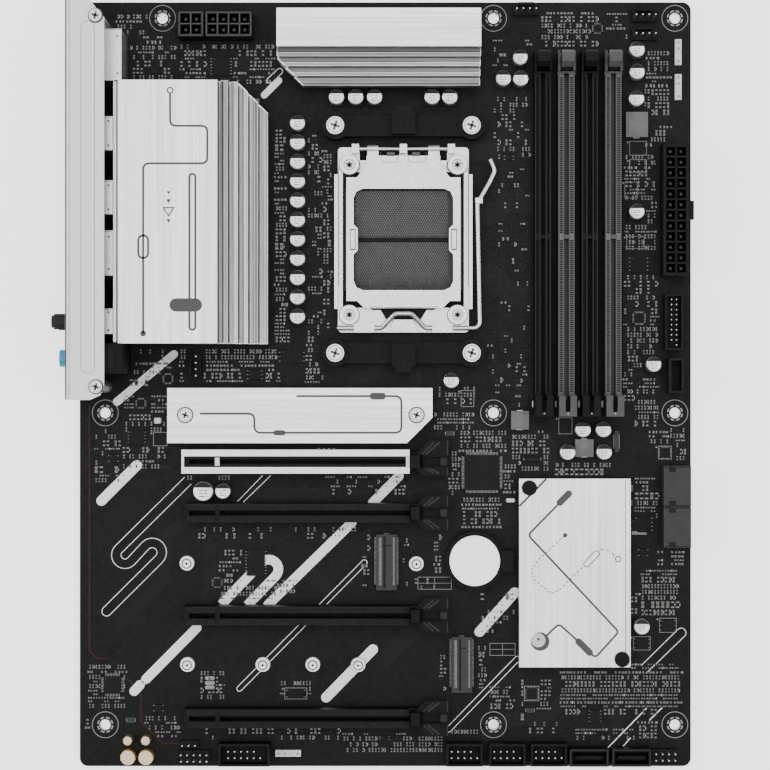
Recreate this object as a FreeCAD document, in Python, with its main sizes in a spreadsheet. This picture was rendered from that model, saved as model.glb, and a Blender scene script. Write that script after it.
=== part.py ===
import FreeCAD, Part

import math
import os
import re

import Sketcher
from FreeCAD import Placement, Rotation, Vector

# Full-size ATX motherboard, in millimetres.
#
# Frame: the origin is the axis of the rear middle mounting hole on the underside of the board.
# +X points away from the rear connectors, +Y towards the top edge (the processor end), +Z up.
# Places on the board are given as (across, down): across from the rear edge, down from the top
# edge. Heights are given as "up", from the board's top face.

# --------------------------------------------------------------------------------------------
# Driving dimensions: the cells of the spreadsheet
# --------------------------------------------------------------------------------------------

SIZES = {
    "board": {
        "board_across": 243.84,
        "board_down": 304.8,
        "board_thickness": 1.6,
        "board_corner_radius": 3.3,
        "mount_hole_radius": 1.98,
        "screw_hole_radius": 1.6,
        "rear_hole_across": 10.16,
        "upper_hole_across": 33.02,
        "middle_hole_across": 165.1,
        "front_hole_across": 237.49,
        "upper_hole_down": 6.35,
        "middle_hole_down": 163.83,
        "lower_hole_down": 288.29,
    },
    "rear shield": {
        "shield_face_across": -1.0,
        "shield_thickness": 0.8,
        "shield_length": 158.75,
        "shield_height": 44.45,
        "shield_below_board": 3.81,
        "shield_upper_down": -0.3,
        "shield_flange_reach": 15.0,
        "shield_flange_upper_reach": 5.2,
        "shield_flange_cut": 12.0,
        "shield_screw_radius": 2.4,
        "shield_screw_head": 1.4,
        "shield_shank_radius": 1.3,
        "shield_shank_length": 5.0,
        "shield_post_radius": 2.2,
    },
    "rear connectors": {
        "connector_wall": 0.5,
        "video_depth": 19.2,
        "video_width": 20.1,
        "video_height": 24.0,
        "display_port_width": 16.2,
        "display_port_height": 5.0,
        "media_port_width": 14.2,
        "media_port_height": 4.7,
        "usb_depth": 16.5,
        "usb_width": 13.1,
        "usb_height": 31.2,
        "usb_port_width": 12.1,
        "usb_port_height": 5.1,
        "usb_port_pitch": 7.6,
        "usb_tongue_width": 11.1,
        "usb_tongue_height": 1.9,
        "lan_width": 17.4,
        "lan_height": 30.0,
        "lan_port_width": 11.8,
        "lan_port_height": 8.4,
        "port_depth": 12.5,
        "tongue_depth": 9.5,
        "button_box_width": 4.6,
        "button_box_depth": 9.0,
        "button_box_height": 26.0,
        "button_radius": 1.7,
        "button_length": 4.2,
        "button_travel": 0.8,
        "antenna_box_width": 9.8,
        "antenna_box_depth": 16.5,
        "antenna_box_height": 31.0,
        "antenna_thread_radius": 2.3,
        "antenna_thread_length": 5.6,
        "antenna_cap_radius": 2.9,
        "antenna_cap_tip_radius": 2.45,
        "antenna_cap_length": 6.9,
        "antenna_cap_gap": 0.1,
        "audio_width": 11.6,
        "audio_depth": 20.6,
        "audio_pitch": 11.8,
        "audio_jack_radius": 1.8,
        "audio_ring_radius": 3.35,
        "audio_ring_reach": 3.2,
        "audio_jack_depth": 15.0,
    },
    "power-stage heatsinks": {
        "stage_pad_top": 2.2,
        "stage_chip_height": 1.0,
        "stage_chip_across": 5.0,
        "stage_chip_down": 6.0,
        "stage_pitch": 7.67,
        "choke_side": 6.9,
        "choke_height": 6.2,
        "choke_clearance_top": 7.0,
        "left_sink_start": 16.6,
        "left_sink_across": 59.1,
        "left_sink_upper_down": 34.8,
        "left_sink_down": 101.8,
        "left_sink_top": 34.0,
        "left_sink_bevel": 2.0,
        "left_sink_plate": 40.4,
        "left_sink_steps": 5.0,
        "left_sink_low_top": 16.0,
        "left_sink_groove_width": 0.9,
        "left_sink_groove_depth": 2.4,
        "left_sink_corner_cut": 11.0,
        "left_sink_choke_edge": 44.5,
        "left_sink_wall": 3.0,
        "left_sink_wall_foot": 6.0,
        "left_sink_hollow": 27.0,
        "left_sink_hollow_top": 26.0,
        "top_sink_start": 79.7,
        "top_sink_across": 79.4,
        "top_sink_upper_down": 6.0,
        "top_sink_down": 28.8,
        "top_sink_top": 30.0,
        "top_sink_bevel": 2.0,
        "top_sink_plate": 15.3,
        "top_sink_steps": 4.0,
        "top_sink_low_top": 15.0,
        "top_sink_corner_cut": 9.6,
        "top_sink_choke_edge": 15.5,
    },
    "processor socket": {
        "socket_across": 129.1,
        "socket_down": 95.0,
        "housing_across": 44.0,
        "housing_down": 50.0,
        "housing_height": 4.2,
        "contact_well_across": 41.0,
        "contact_well_down": 41.4,
        "contact_well_depth": 1.3,
        "contact_field_across": 39.0,
        "contact_field_down": 18.9,
        "contact_field_height": 0.5,
        "contact_field_gap": 1.6,
        "frame_across": 52.0,
        "frame_down": 73.6,
        "frame_up": 2.2,
        "frame_thickness": 1.4,
        "frame_opening_across": 48.2,
        "frame_opening_down": 54.0,
        "frame_wall_height": 4.0,
        "frame_wall_thickness": 1.4,
        "frame_wall_down": 53.4,
        "frame_wall_offset": -0.8,
        "frame_gap_across": 15.8,
        "frame_gap_down": 5.2,
        "frame_screw_across": 43.0,
        "frame_screw_down": 59.6,
        "frame_screw_radius": 3.8,
        "frame_screw_head": 2.2,
        "lug_length": 8.0,
        "lug_size": 3.6,
        "plate_across": 45.2,
        "plate_front": 27.2,
        "plate_back": 33.2,
        "plate_up": 6.2,
        "plate_thickness": 1.2,
        "plate_notch_across": 7.0,
        "plate_front_notch": 24.4,
        "plate_back_notch": 24.6,
        "plate_notch_slope": 2.8,
        "window_across": 39.4,
        "window_down": 40.2,
        "window_corner_radius": 3.6,
        "window_lip_length": 8.6,
        "window_lip_reach": 1.6,
        "hinge_down": 36.0,
        "hinge_up": 6.2,
        "hinge_pin_radius": 0.8,
        "hinge_pin_length": 36.0,
        "hinge_curl_radius": 1.6,
        "hinge_curl_width": 4.4,
        "hinge_curl_across": 12.1,
        "hinge_lug_width": 2.8,
        "running_gap": 0.06,
        "lever_radius": 0.92,
        "lever_down": 35.1,
        "lever_up": 5.2,
        "lever_start": 26.3,
        "lever_side": 30.4,
        "lever_side_top": 29.4,
        "lever_crank_reach": 5.7,
        "lever_crank_half": 3.4,
        "lever_crank_foot": 8.6,
        "lever_bend_radius": 2.6,
        "backplate_across": 66.0,
        "backplate_down": 104.0,
        "backplate_opening": 34.0,
        "backplate_thickness": 2.2,
        "cooler_across": 54.0,
        "cooler_down": 90.0,
        "cooler_bar_down": 8.2,
        "cooler_bar_height": 7.0,
        "cooler_end_radius": 5.4,
        "cooler_post_height": 8.0,
        "cooler_hook_across": 9.4,
        "cooler_hook_down": 9.0,
        "cooler_hook_height": 11.0,
        "cooler_hook_tip": 6.8,
        "cooler_screw_radius": 3.5,
        "cooler_screw_head": 2.2,
        "cooler_shank_radius": 1.5,
    },
    "memory slots": {
        "memory_first_across": 184.4,
        "memory_pitch": 9.3,
        "memory_width": 7.0,
        "memory_start_down": 20.4,
        "memory_end_down": 165.1,
        "memory_height": 7.6,
        "memory_groove_width": 1.9,
        "memory_groove_depth": 5.6,
        "memory_key_down": 93.9,
        "memory_key_length": 1.6,
        "memory_tower_down": 8.2,
        "memory_tower_height": 17.0,
        "memory_cheek_thickness": 0.95,
        "memory_cheek_down": 8.0,
        "memory_cheek_height": 10.5,
        "memory_latch_width": 4.7,
        "memory_pivot_back": 3.6,
        "memory_pivot_up": 4.2,
        "memory_pivot_radius": 1.2,
        "memory_latch_height": 19.0,
    },
    "expansion slots": {
        "expansion_start": 42.5,
        "expansion_length": 89.0,
        "expansion_width": 7.4,
        "expansion_height": 11.25,
        "expansion_groove_width": 2.0,
        "expansion_groove_depth": 8.2,
        "expansion_key_start": 12.2,
        "expansion_key_length": 1.8,
        "expansion_first_down": 182.95,
        "expansion_second_down": 203.27,
        "expansion_third_down": 243.91,
        "expansion_fourth_down": 284.55,
        "expansion_cladding": 1.0,
        "cladding_opening": 4.3,
        "expansion_cheek_length": 8.0,
        "expansion_cheek_thickness": 1.1,
        "expansion_pivot_ahead": 5.0,
        "expansion_pivot_up": 3.4,
        "expansion_pivot_radius": 1.2,
        "expansion_latch_width": 5.0,
        "expansion_latch_reach": 15.4,
        "expansion_latch_height": 13.2,
        "expansion_paddle_up": 4.6,
        "expansion_paddle_thickness": 1.4,
        "expansion_channel_width": 3.7,
        "expansion_channel_length": 7.2,
    },
    "drive and chipset heatsinks": {
        "drive_sink_start": 35.6,
        "drive_sink_across": 105.0,
        "drive_sink_upper_down": 153.9,
        "drive_sink_down": 21.8,
        "drive_sink_up": 5.6,
        "drive_sink_thickness": 3.0,
        "drive_sink_corner_cut": 10.1,
        "drive_screw_down": 164.6,
        "drive_screw_first": 42.7,
        "drive_screw_second": 134.3,
        "drive_screw_radius": 2.6,
        "drive_screw_head": 0.5,
        "drive_pad_start": 48.0,
        "drive_pad_across": 76.0,
        "drive_pad_thickness": 0.8,
        "drive_post_radius": 2.4,
        "standoff_radius": 2.8,
        "standoff_base": 1.2,
        "standoff_neck_radius": 2.0,
        "standoff_height": 3.4,
        "standoff_bore_radius": 0.8,
        "chip_sink_start": 174.9,
        "chip_sink_across": 44.1,
        "chip_sink_upper_down": 189.8,
        "chip_sink_down": 74.6,
        "chip_sink_up": 2.6,
        "chip_sink_top": 9.0,
        "chip_pin_radius": 3.0,
        "chip_pin_head": 1.6,
        "chip_pin_neck": 1.4,
        "chipset_side": 23.0,
        "chipset_height": 1.8,
    },
    "battery": {
        "battery_across": 157.5,
        "battery_down": 222.6,
        "battery_radius": 10.0,
        "battery_height": 3.2,
        "battery_up": 1.8,
        "holder_radius": 11.8,
        "holder_height": 4.4,
        "holder_clip_across": 4.6,
        "holder_clip_down": 8.6,
        "holder_clip_height": 6.2,
        "battery_clearance": 0.35,
    },
    "power connectors": {
        "power_pitch": 4.2,
        "power_cell": 3.5,
        "power_wall": 0.85,
        "power_height": 12.8,
        "power_cell_depth": 10.4,
        "power_cpu_down": 10.3,
        "power_cpu_four_across": 45.2,
        "power_cpu_eight_across": 60.1,
        "power_main_across": 236.6,
        "power_main_down": 83.6,
        "power_ramp_width": 7.4,
        "power_ramp_reach": 2.2,
        "power_contact_side": 1.0,
        "power_contact_height": 8.2,
    },
    "storage and case headers": {
        "sata_side_across": 10.8,
        "sata_side_down": 16.0,
        "sata_side_height": 8.6,
        "sata_side_middle_across": 237.6,
        "sata_side_first_down": 192.8,
        "sata_side_second_down": 209.1,
        "sata_upright_across": 15.5,
        "sata_upright_down": 7.0,
        "sata_upright_height": 9.0,
        "sata_upright_first_across": 202.6,
        "sata_upright_second_across": 219.4,
        "sata_upright_middle_down": 300.3,
        "sata_wall": 1.1,
        "sata_cavity_depth": 7.4,
        "sata_tongue": 1.2,
        "front_usb_across": 7.2,
        "front_usb_down": 22.2,
        "front_usb_height": 8.6,
        "front_usb_middle_across": 236.3,
        "front_usb_middle_down": 127.8,
        "front_type_c_across": 5.9,
        "front_type_c_down": 13.8,
        "front_type_c_height": 10.4,
        "front_type_c_middle_across": 237.0,
        "front_type_c_middle_down": 149.0,
        "header_wall": 0.9,
        "header_down": 8.9,
        "header_height": 8.6,
        "header_across": 14.3,
        "header_middle_down": 299.3,
        "serial_across": 20.2,
        "serial_middle_across": 66.0,
        "header_base_height": 2.5,
        "fan_across": 10.1,
        "fan_down": 4.6,
        "fan_height": 7.4,
        "fan_tab_thickness": 1.0,
        "drive_connector_across": 8.2,
        "drive_connector_down": 22.2,
        "drive_connector_height": 4.2,
        "drive_connector_slot": 1.0,
    },
    "capacitors, chokes and chips": {
        "capacitor_radius": 3.1,
        "capacitor_height": 8.0,
        "large_capacitor_radius": 4.0,
        "large_capacitor_height": 9.0,
        "gold_small_radius": 1.9,
        "gold_large_radius": 3.0,
        "gold_height": 7.0,
        "stage_capacitor_across": 87.1,
        "stage_capacitor_down": 48.8,
        "choke_body_height": 4.2,
        "controller_side": 14.0,
        "controller_height": 1.5,
        "small_chip_height": 0.9,
    },
}

# Electrolytic capacitors away from the power-stage column, as (across, down).
CAPACITOR_SPOTS = [
    (102.6, 38.5), (110.2, 38.5), (117.7, 38.5), (140.5, 38.5), (147.5, 38.5),
    (168.7, 31.1), (175.5, 22.8), (175.6, 31.2),
    (221.7, 19.7), (221.7, 28.5), (221.5, 39.1), (221.7, 83.9),
    (228.4, 144.5), (148.1, 150.9), (200.3, 170.4), (208.4, 170.4),
    (194.2, 179.4), (208.7, 179.3), (57.5, 194.9), (223.6, 248.6),
]

# Chokes away from the power stages, as (across, down, across size, down size).
CHOKE_SPOTS = [(222.0, 49.1, 8.7, 9.9), (201.1, 177.8, 7.2, 7.0), (175.5, 166.7, 7.0, 7.4)]

# Leadless chips, as (across, down, across size, down size).
SMALL_CHIP_SPOTS = [
    (56.4, 25.5, 7.2, 7.6), (70.3, 223.6, 7.2, 10.4), (22.7, 173.5, 6.0, 5.6),
    (13.1, 272.3, 7.0, 7.0), (223.0, 104.5, 6.4, 6.4), (84.6, 141.4, 9.0, 5.0),
    (225.2, 208.3, 5.6, 6.4),
]

# --------------------------------------------------------------------------------------------
# Document, spreadsheet and helpers
# --------------------------------------------------------------------------------------------

doc = FreeCAD.newDocument("motherboard")
sheet = doc.addObject("Spreadsheet::Sheet", "sizes")
D = {}
PARTS = []


def fill_sheet():
    """Write each group of sizes under its heading, one alias to a row."""
    row = 1
    for heading, group in SIZES.items():
        sheet.set(f"A{row}", heading)
        row += 1
        for alias, value in group.items():
            sheet.set(f"A{row}", alias)
            sheet.set(f"B{row}", str(value))
            sheet.setAlias(f"B{row}", alias)
            D[alias] = value
            row += 1
    doc.recompute()


def bound(expression):
    """An expression of aliases, with the sheet's name put before each alias."""
    return re.sub(r"[a-z_]\w*", r"sizes.\g<0>", str(expression))


def bind(item, sizes):
    for name, expression in sizes.items():
        item.setExpression(name, bound(expression))
    return item


def spot(across, down, up=0.0):
    """A place on the board as a point of the model's frame."""
    return Vector(
        across - D["rear_hole_across"],
        D["middle_hole_down"] - down,
        D["board_thickness"] + up,
    )


def keep(item):
    """Count an object as a finished sub-part."""
    PARTS.append(item)
    return item


def box(name, sizes, low):
    """Box with its lowest corner at the point low."""
    item = doc.addObject("Part::Box", name)
    bind(item, dict(zip(("Length", "Width", "Height"), sizes)))
    item.Placement = Placement(low, Rotation())
    return item


def block(name, sizes, middle):
    """Box standing on the point middle, which is the middle of its lower face."""
    item = box(name, sizes, middle)
    for axis, size, value in zip("xy", sizes, middle):
        item.setExpression(f"Placement.Base.{axis}", f"{value} - ({bound(size)}) / 2")
    return item


def disc(name, radius, height, foot, axis=Vector(0, 0, 1)):
    """Cylinder from the point foot along an axis."""
    item = bind(doc.addObject("Part::Cylinder", name), {"Radius": radius, "Height": height})
    item.Placement = Placement(foot, Rotation(Vector(0, 0, 1), axis))
    return item


def cone(name, radius, tip_radius, height, foot, axis=Vector(0, 0, 1)):
    sizes = {"Radius1": radius, "Radius2": tip_radius, "Height": height}
    item = bind(doc.addObject("Part::Cone", name), sizes)
    item.Placement = Placement(foot, Rotation(Vector(0, 0, 1), axis))
    return item


def fuse(name, items):
    item = doc.addObject("Part::MultiFuse", name)
    item.Shapes = items
    return item


def cut(name, base, tools):
    """Base with every tool taken out of it."""
    tool = tools[0] if len(tools) == 1 else fuse(name + "_tools", tools)
    item = doc.addObject("Part::Cut", name)
    item.Base = base
    item.Tool = tool
    return item


def group(name, items):
    """Separate solids kept together as one sub-part."""
    item = doc.addObject("Part::Compound", name)
    item.Links = items
    return item


def new_body(name, place=Vector(0, 0, 0)):
    body = doc.addObject("PartDesign::Body", name)
    body.Placement = Placement(place, Rotation())
    return body


def sketch_on(body, plane, name, lift="0"):
    """Sketch on one of the body's own origin planes, raised along the plane's normal."""
    role = plane + "_Plane"
    base = [feature for feature in body.Origin.OriginFeatures if feature.Role == role][0]
    sketch = body.newObject("Sketcher::SketchObject", name)
    sketch.AttachmentSupport = [(base, "")]
    sketch.MapMode = "FlatFace"
    sketch.setExpression("AttachmentOffset.Base.z", bound(lift))
    return sketch


def pin_point(sketch, geometry, end, place):
    """Fix one point of a sketch by two bound distances from its origin."""
    for kind, expression in zip(("DistanceX", "DistanceY"), place):
        index = sketch.addConstraint(Sketcher.Constraint(kind, -1, 1, geometry, end, 1.0))
        sketch.setExpression(f"Constraints[{index}]", bound(expression))


def outline(sketch, points):
    """Closed polygon whose corners are pairs of expressions."""
    count = len(points)
    first = sketch.GeometryCount
    turns = [2 * math.pi * index / count for index in range(count + 1)]
    seeds = [Vector(10 * math.cos(turn), 10 * math.sin(turn), 0) for turn in turns]
    for index in range(count):
        sketch.addGeometry(Part.LineSegment(seeds[index], seeds[index + 1]))
    for index in range(count):
        after = first + (index + 1) % count
        sketch.addConstraint(Sketcher.Constraint("Coincident", first + index, 2, after, 1))
    for index, place in enumerate(points):
        pin_point(sketch, first + index, 1, place)


def rectangle(sketch, middle_x, middle_y, size_x, size_y):
    sides = [(-1, -1), (1, -1), (1, 1), (-1, 1)]
    outline(sketch, [
        (f"{middle_x} + {sx} * ({size_x}) / 2", f"{middle_y} + {sy} * ({size_y}) / 2")
        for sx, sy in sides
    ])


def circle(sketch, x, y, radius):
    index = sketch.addGeometry(Part.Circle(Vector(1, 1, 0), Vector(0, 0, 1), 1.0))
    pin_point(sketch, index, 3, (x, y))
    limit = sketch.addConstraint(Sketcher.Constraint("Radius", index, 1.0))
    sketch.setExpression(f"Constraints[{limit}]", bound(radius))


def pad(body, sketch, length, back=False):
    feature = body.newObject("PartDesign::Pad", sketch.Label + "_pad")
    feature.Profile = sketch
    feature.Reversed = back
    return bind(feature, {"Length": length})


def pocket(body, sketch, depth, back=False):
    """Pocket into the body; the volume has to drop, or its direction is wrong."""
    doc.recompute()
    before = body.Shape.Volume
    feature = body.newObject("PartDesign::Pocket", sketch.Label + "_pocket")
    feature.Profile = sketch
    feature.Reversed = back
    bind(feature, {"Length": depth})
    doc.recompute()
    if not body.Shape.Volume < before - 1e-6:
        raise RuntimeError(sketch.Label + " cuts nothing")
    return feature


def edges_along(shape, axis, test=None):
    """Names of the straight edges that run along an axis and pass a test of their middle."""
    names = []
    for index, edge in enumerate(shape.Edges, 1):
        if edge.Curve.TypeId != "Part::GeomLine":
            continue
        run = (edge.Vertexes[-1].Point - edge.Vertexes[0].Point).normalize()
        middle = (edge.Vertexes[-1].Point + edge.Vertexes[0].Point) * 0.5
        if abs(run.dot(axis)) > 0.999 and (test is None or test(middle)):
            names.append(f"Edge{index}")
    return names


def round_edges(body, base, axis, radius, test=None):
    doc.recompute()
    feature = body.newObject("PartDesign::Fillet", body.Label + "_rounding")
    feature.Base = (base, edges_along(base.Shape, axis, test))
    return bind(feature, {"Radius": radius})


X_AXIS = Vector(1, 0, 0)
Y_AXIS = Vector(0, 1, 0)
Z_AXIS = Vector(0, 0, 1)

fill_sheet()

# --------------------------------------------------------------------------------------------
# Board
# --------------------------------------------------------------------------------------------

def mounting_holes():
    """The nine mounting holes, as (across, down)."""
    columns = [D["middle_hole_across"], D["front_hole_across"]]
    rows = [D["upper_hole_down"], D["middle_hole_down"], D["lower_hole_down"]]
    holes = [(across, down) for across in columns for down in rows]
    holes.append((D["upper_hole_across"], D["upper_hole_down"]))
    holes.append((D["rear_hole_across"], D["middle_hole_down"]))
    holes.append((D["rear_hole_across"], D["lower_hole_down"]))
    return holes


def cooler_screw_spots():
    middle = (D["socket_across"], D["socket_down"])
    half = (D["cooler_across"] / 2, D["cooler_down"] / 2)
    return [
        (middle[0] + sx * half[0], middle[1] + sy * half[1])
        for sx in (-1, 1) for sy in (-1, 1)
    ]


def left_sink_screw_spots():
    return [(49.7, 41.0), (49.7, 86.0), (49.7, 130.0)]


def top_sink_screw_spots():
    return [(92.0, 9.2), (147.0, 9.2)]


def make_board():
    body = new_body("circuit_board")
    face = sketch_on(body, "XY", "board_face")
    rectangle(
        face,
        "board_across / 2 - rear_hole_across",
        "middle_hole_down - board_down / 2",
        "board_across",
        "board_down",
    )
    for across, down in mounting_holes():
        place = spot(across, down)
        circle(face, place.x, place.y, "mount_hole_radius")
    screws = cooler_screw_spots() + left_sink_screw_spots() + top_sink_screw_spots()
    for across, down in screws:
        place = spot(across, down)
        circle(face, place.x, place.y, "screw_hole_radius")
    slab = pad(body, face, "board_thickness")
    round_edges(body, slab, Z_AXIS, "board_corner_radius")
    keep(body)


# --------------------------------------------------------------------------------------------
# Rear shield and rear connectors
# --------------------------------------------------------------------------------------------

VIDEO_DOWN = 23.85
BUTTON_DOWN = 41.6
USB_DOWN = (55.2, 80.0)
LAN_DOWN = 101.5
ANTENNA_DOWN = 128.0
AUDIO_DOWN = 142.4

DISPLAY_PORT_UP = 18.2
MEDIA_PORT_UP = 6.6
BUTTON_UP = 18.0
ANTENNA_UP = (10.5, 25.0)
LAN_PORT_UP = 21.8
FIRST_USB_UP = 4.6


def shield_inner_across():
    return D["shield_face_across"] + D["shield_thickness"]


def usb_rows(count):
    return [FIRST_USB_UP + row * D["usb_port_pitch"] for row in range(count)]


def audio_rows():
    return [(row + 0.5) * D["audio_pitch"] for row in range(3)]


def port_list():
    """Every rectangular port, as (name, down, up, width alias, height alias)."""
    ports = [
        ("display", VIDEO_DOWN, DISPLAY_PORT_UP, "display_port_width", "display_port_height"),
        ("media", VIDEO_DOWN, MEDIA_PORT_UP, "media_port_width", "media_port_height"),
        ("lan", LAN_DOWN, LAN_PORT_UP, "lan_port_width", "lan_port_height"),
    ]
    for stack, down in enumerate(USB_DOWN):
        for row, up in enumerate(usb_rows(4)):
            name = f"usb{stack}_{row}"
            ports.append((name, down, up, "usb_port_width", "usb_port_height"))
    for row, up in enumerate(usb_rows(2)):
        ports.append((f"lan_usb_{row}", LAN_DOWN, up, "usb_port_width", "usb_port_height"))
    return ports


def make_shield():
    face = spot(D["shield_face_across"], D["shield_upper_down"], -D["shield_below_board"])
    body = new_body("rear_shield", face)
    plate = sketch_on(body, "YZ", "shield_plate")
    tall = "shield_height - shield_thickness"
    rectangle(plate, "-shield_length / 2", f"({tall}) / 2", "shield_length", tall)
    top = D["shield_upper_down"]
    lift = D["shield_below_board"]
    for _, down, up, width, height in port_list():
        rectangle(plate, top - down, lift + up, width, height)
    for up in audio_rows():
        circle(plate, top - AUDIO_DOWN, lift + up, "audio_ring_radius + running_gap")
    for up in ANTENNA_UP:
        circle(plate, top - ANTENNA_DOWN, lift + up, "antenna_thread_radius + running_gap")
    circle(plate, top - BUTTON_DOWN, lift + BUTTON_UP, "button_radius + 0.25")
    pad(body, plate, "shield_thickness")
    keep(body)


def make_shield_flange():
    """Strip along the shield's upper edge, screwed down to two posts."""
    under = D["shield_height"] - D["shield_thickness"] - D["shield_below_board"]
    corner = (D["shield_face_across"], D["shield_upper_down"])
    body = new_body("shield_flange", spot(*corner, under))
    flange = sketch_on(body, "XY", "shield_flange_face")
    outline(flange, [
        ("0", "0"),
        ("0", "-shield_length"),
        ("shield_flange_reach - 5.5", "-shield_length"),
        ("shield_flange_reach - 1.5", "-shield_length + 1.8"),
        ("shield_flange_reach", "-shield_length + 5.5"),
        ("shield_flange_reach", "-shield_flange_cut"),
        ("shield_flange_upper_reach", "0"),
    ])
    for across, down in SHIELD_SCREW_SPOTS:
        radius = "shield_shank_radius + running_gap"
        circle(flange, across - corner[0], corner[1] - down, radius)
    pad(body, flange, "shield_thickness")
    keep(body)


SHIELD_SCREW_SPOTS = [(10.7, 10.9), (10.9, 153.4)]


def make_shield_posts():
    """Posts that stand on the board under the flange, and the screws into them."""
    height = "shield_height - shield_below_board - shield_thickness"
    posts = []
    screws = []
    for index, (across, down) in enumerate(SHIELD_SCREW_SPOTS):
        top = spot(across, down, D["shield_height"] - D["shield_below_board"])
        head = disc(f"shield_head_{index}", "shield_screw_radius", "shield_screw_head", top)
        drive = phillips(f"shield_drive_{index}", top, "shield_screw_head", 1.7)
        slotted = cut(f"shield_slotted_head_{index}", head, [drive])
        radius = "shield_shank_radius"
        length = "shield_shank_length"
        shank = disc(f"shield_shank_{index}", radius, length, top, -Z_AXIS)
        screws.append(fuse(f"shield_screw_{index}", [slotted, shank]))
        post = disc(f"post_{index}", "shield_post_radius", height, spot(across, down))
        bore = disc(f"post_bore_{index}", f"{radius} + running_gap", length, top, -Z_AXIS)
        posts.append(cut(f"bored_post_{index}", post, [bore]))
    return posts, screws


def phillips(name, foot, height, half):
    """Cross recess of a screw head: two crossed boxes sunk into the top of a head on foot."""
    depth = 0.9
    width = 0.7
    arms = []
    for index, (x, y) in enumerate(((half, width / 2), (width / 2, half))):
        low = foot + Vector(-x, -y, D[height] - depth)
        arms.append(box(f"{name}_arm{index}", (2 * x, 2 * y, depth + 1), low))
    return fuse(name, arms)


def port_cavity(name, down, up, width, height, depth="port_depth"):
    """Space behind a port's opening, from the shield inwards."""
    wide = D[width]
    tall = D[height]
    low = spot(shield_inner_across() - 1, down, up - tall / 2) - Vector(0, wide / 2, 0)
    return box(name, (f"{depth} + 1", width, height), low)


def connector_shell(name, down, depth, width, height, cavities):
    """Connector housing against the shield's inner face, hollowed by its ports."""
    inner = shield_inner_across()
    middle = spot(inner + D[depth] / 2, down)
    return cut(name, block(name + "_blank", (depth, width, height), middle), cavities)


def make_rear_connectors():
    cavity = {name: port_cavity(f"{name}_cavity", *rest) for name, *rest in port_list()}
    shells = []
    names = {
        "video_stack": (VIDEO_DOWN, "video", ["display", "media"]),
        "usb_stack_upper": (USB_DOWN[0], "usb", [f"usb0_{row}" for row in range(4)]),
        "usb_stack_lower": (USB_DOWN[1], "usb", [f"usb1_{row}" for row in range(4)]),
    }
    for label, (down, kind, ports) in names.items():
        hollows = [cavity[port] for port in ports]
        sizes = (f"{kind}_depth", f"{kind}_width", f"{kind}_height")
        shells.append(connector_shell(label, down, *sizes, hollows))
    hollows = [cavity["lan"], cavity["lan_usb_0"], cavity["lan_usb_1"]]
    sizes = ("usb_depth", "lan_width", "lan_height")
    keep(connector_shell("network_stack", LAN_DOWN, *sizes, hollows))
    keep(group("video_and_usb_stacks", shells))


def tongue(name, down, up, width, height, reach="tongue_depth"):
    """Contact tongue fixed to the back wall of a port."""
    start = shield_inner_across() + D["port_depth"] - D[reach]
    low = spot(start, down, up - D[height] / 2) - Vector(0, D[width] / 2, 0)
    return box(name, (reach, width, height), low)


def make_port_tongues():
    pieces = []
    for name, down, up, _, _ in port_list():
        if "usb" in name:
            lifted = up + 0.9
            size = ("usb_tongue_width", "usb_tongue_height")
            pieces.append(tongue(f"{name}_tongue", down, lifted, *size))
    for name, up in (("display", DISPLAY_PORT_UP), ("media", MEDIA_PORT_UP)):
        size = ("usb_tongue_width", "connector_wall")
        pieces.append(tongue(f"{name}_tongue", VIDEO_DOWN, up + 0.4, *size))
    keep(group("port_tongues", pieces))


def make_update_button():
    inner = shield_inner_across()
    middle = spot(inner + D["button_box_depth"] / 2, BUTTON_DOWN)
    blank = block(
        "button_box_blank", ("button_box_depth", "button_box_width", "button_box_height"), middle
    )
    rear = spot(inner, BUTTON_DOWN, BUTTON_UP)
    well = disc("button_well", "button_radius + 0.25", "button_length", rear, X_AXIS)
    keep(cut("update_button_box", blank, [well]))
    start = spot(D["shield_face_across"] - D["button_travel"] - 0.2, BUTTON_DOWN, BUTTON_UP)
    keep(disc("update_button", "button_radius", "button_length", start, X_AXIS))


def make_antenna_module():
    inner = shield_inner_across()
    middle = spot(inner + D["antenna_box_depth"] / 2, ANTENNA_DOWN)
    sizes = ("antenna_box_depth", "antenna_box_width", "antenna_box_height")
    keep(block("antenna_module", sizes, middle))
    sockets = []
    for index, up in enumerate(ANTENNA_UP):
        foot = spot(inner, ANTENNA_DOWN, up)
        length = "antenna_thread_length + shield_thickness"
        sockets.append(disc(f"socket_{index}", "antenna_thread_radius", length, foot, -X_AXIS))
        start = spot(D["shield_face_across"] - D["antenna_cap_gap"], ANTENNA_DOWN, up)
        radii = ("antenna_cap_radius", "antenna_cap_tip_radius")
        blank = cone(f"cap_blank_{index}", *radii, "antenna_cap_length", start, -X_AXIS)
        bore = disc(
            f"cap_bore_{index}",
            "antenna_thread_radius + running_gap",
            "antenna_thread_length + antenna_cap_gap",
            start,
            -X_AXIS,
        )
        keep(cut(f"antenna_cap_{('lower', 'upper')[index]}", blank, [bore]))
    keep(group("antenna_sockets", sockets))


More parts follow.
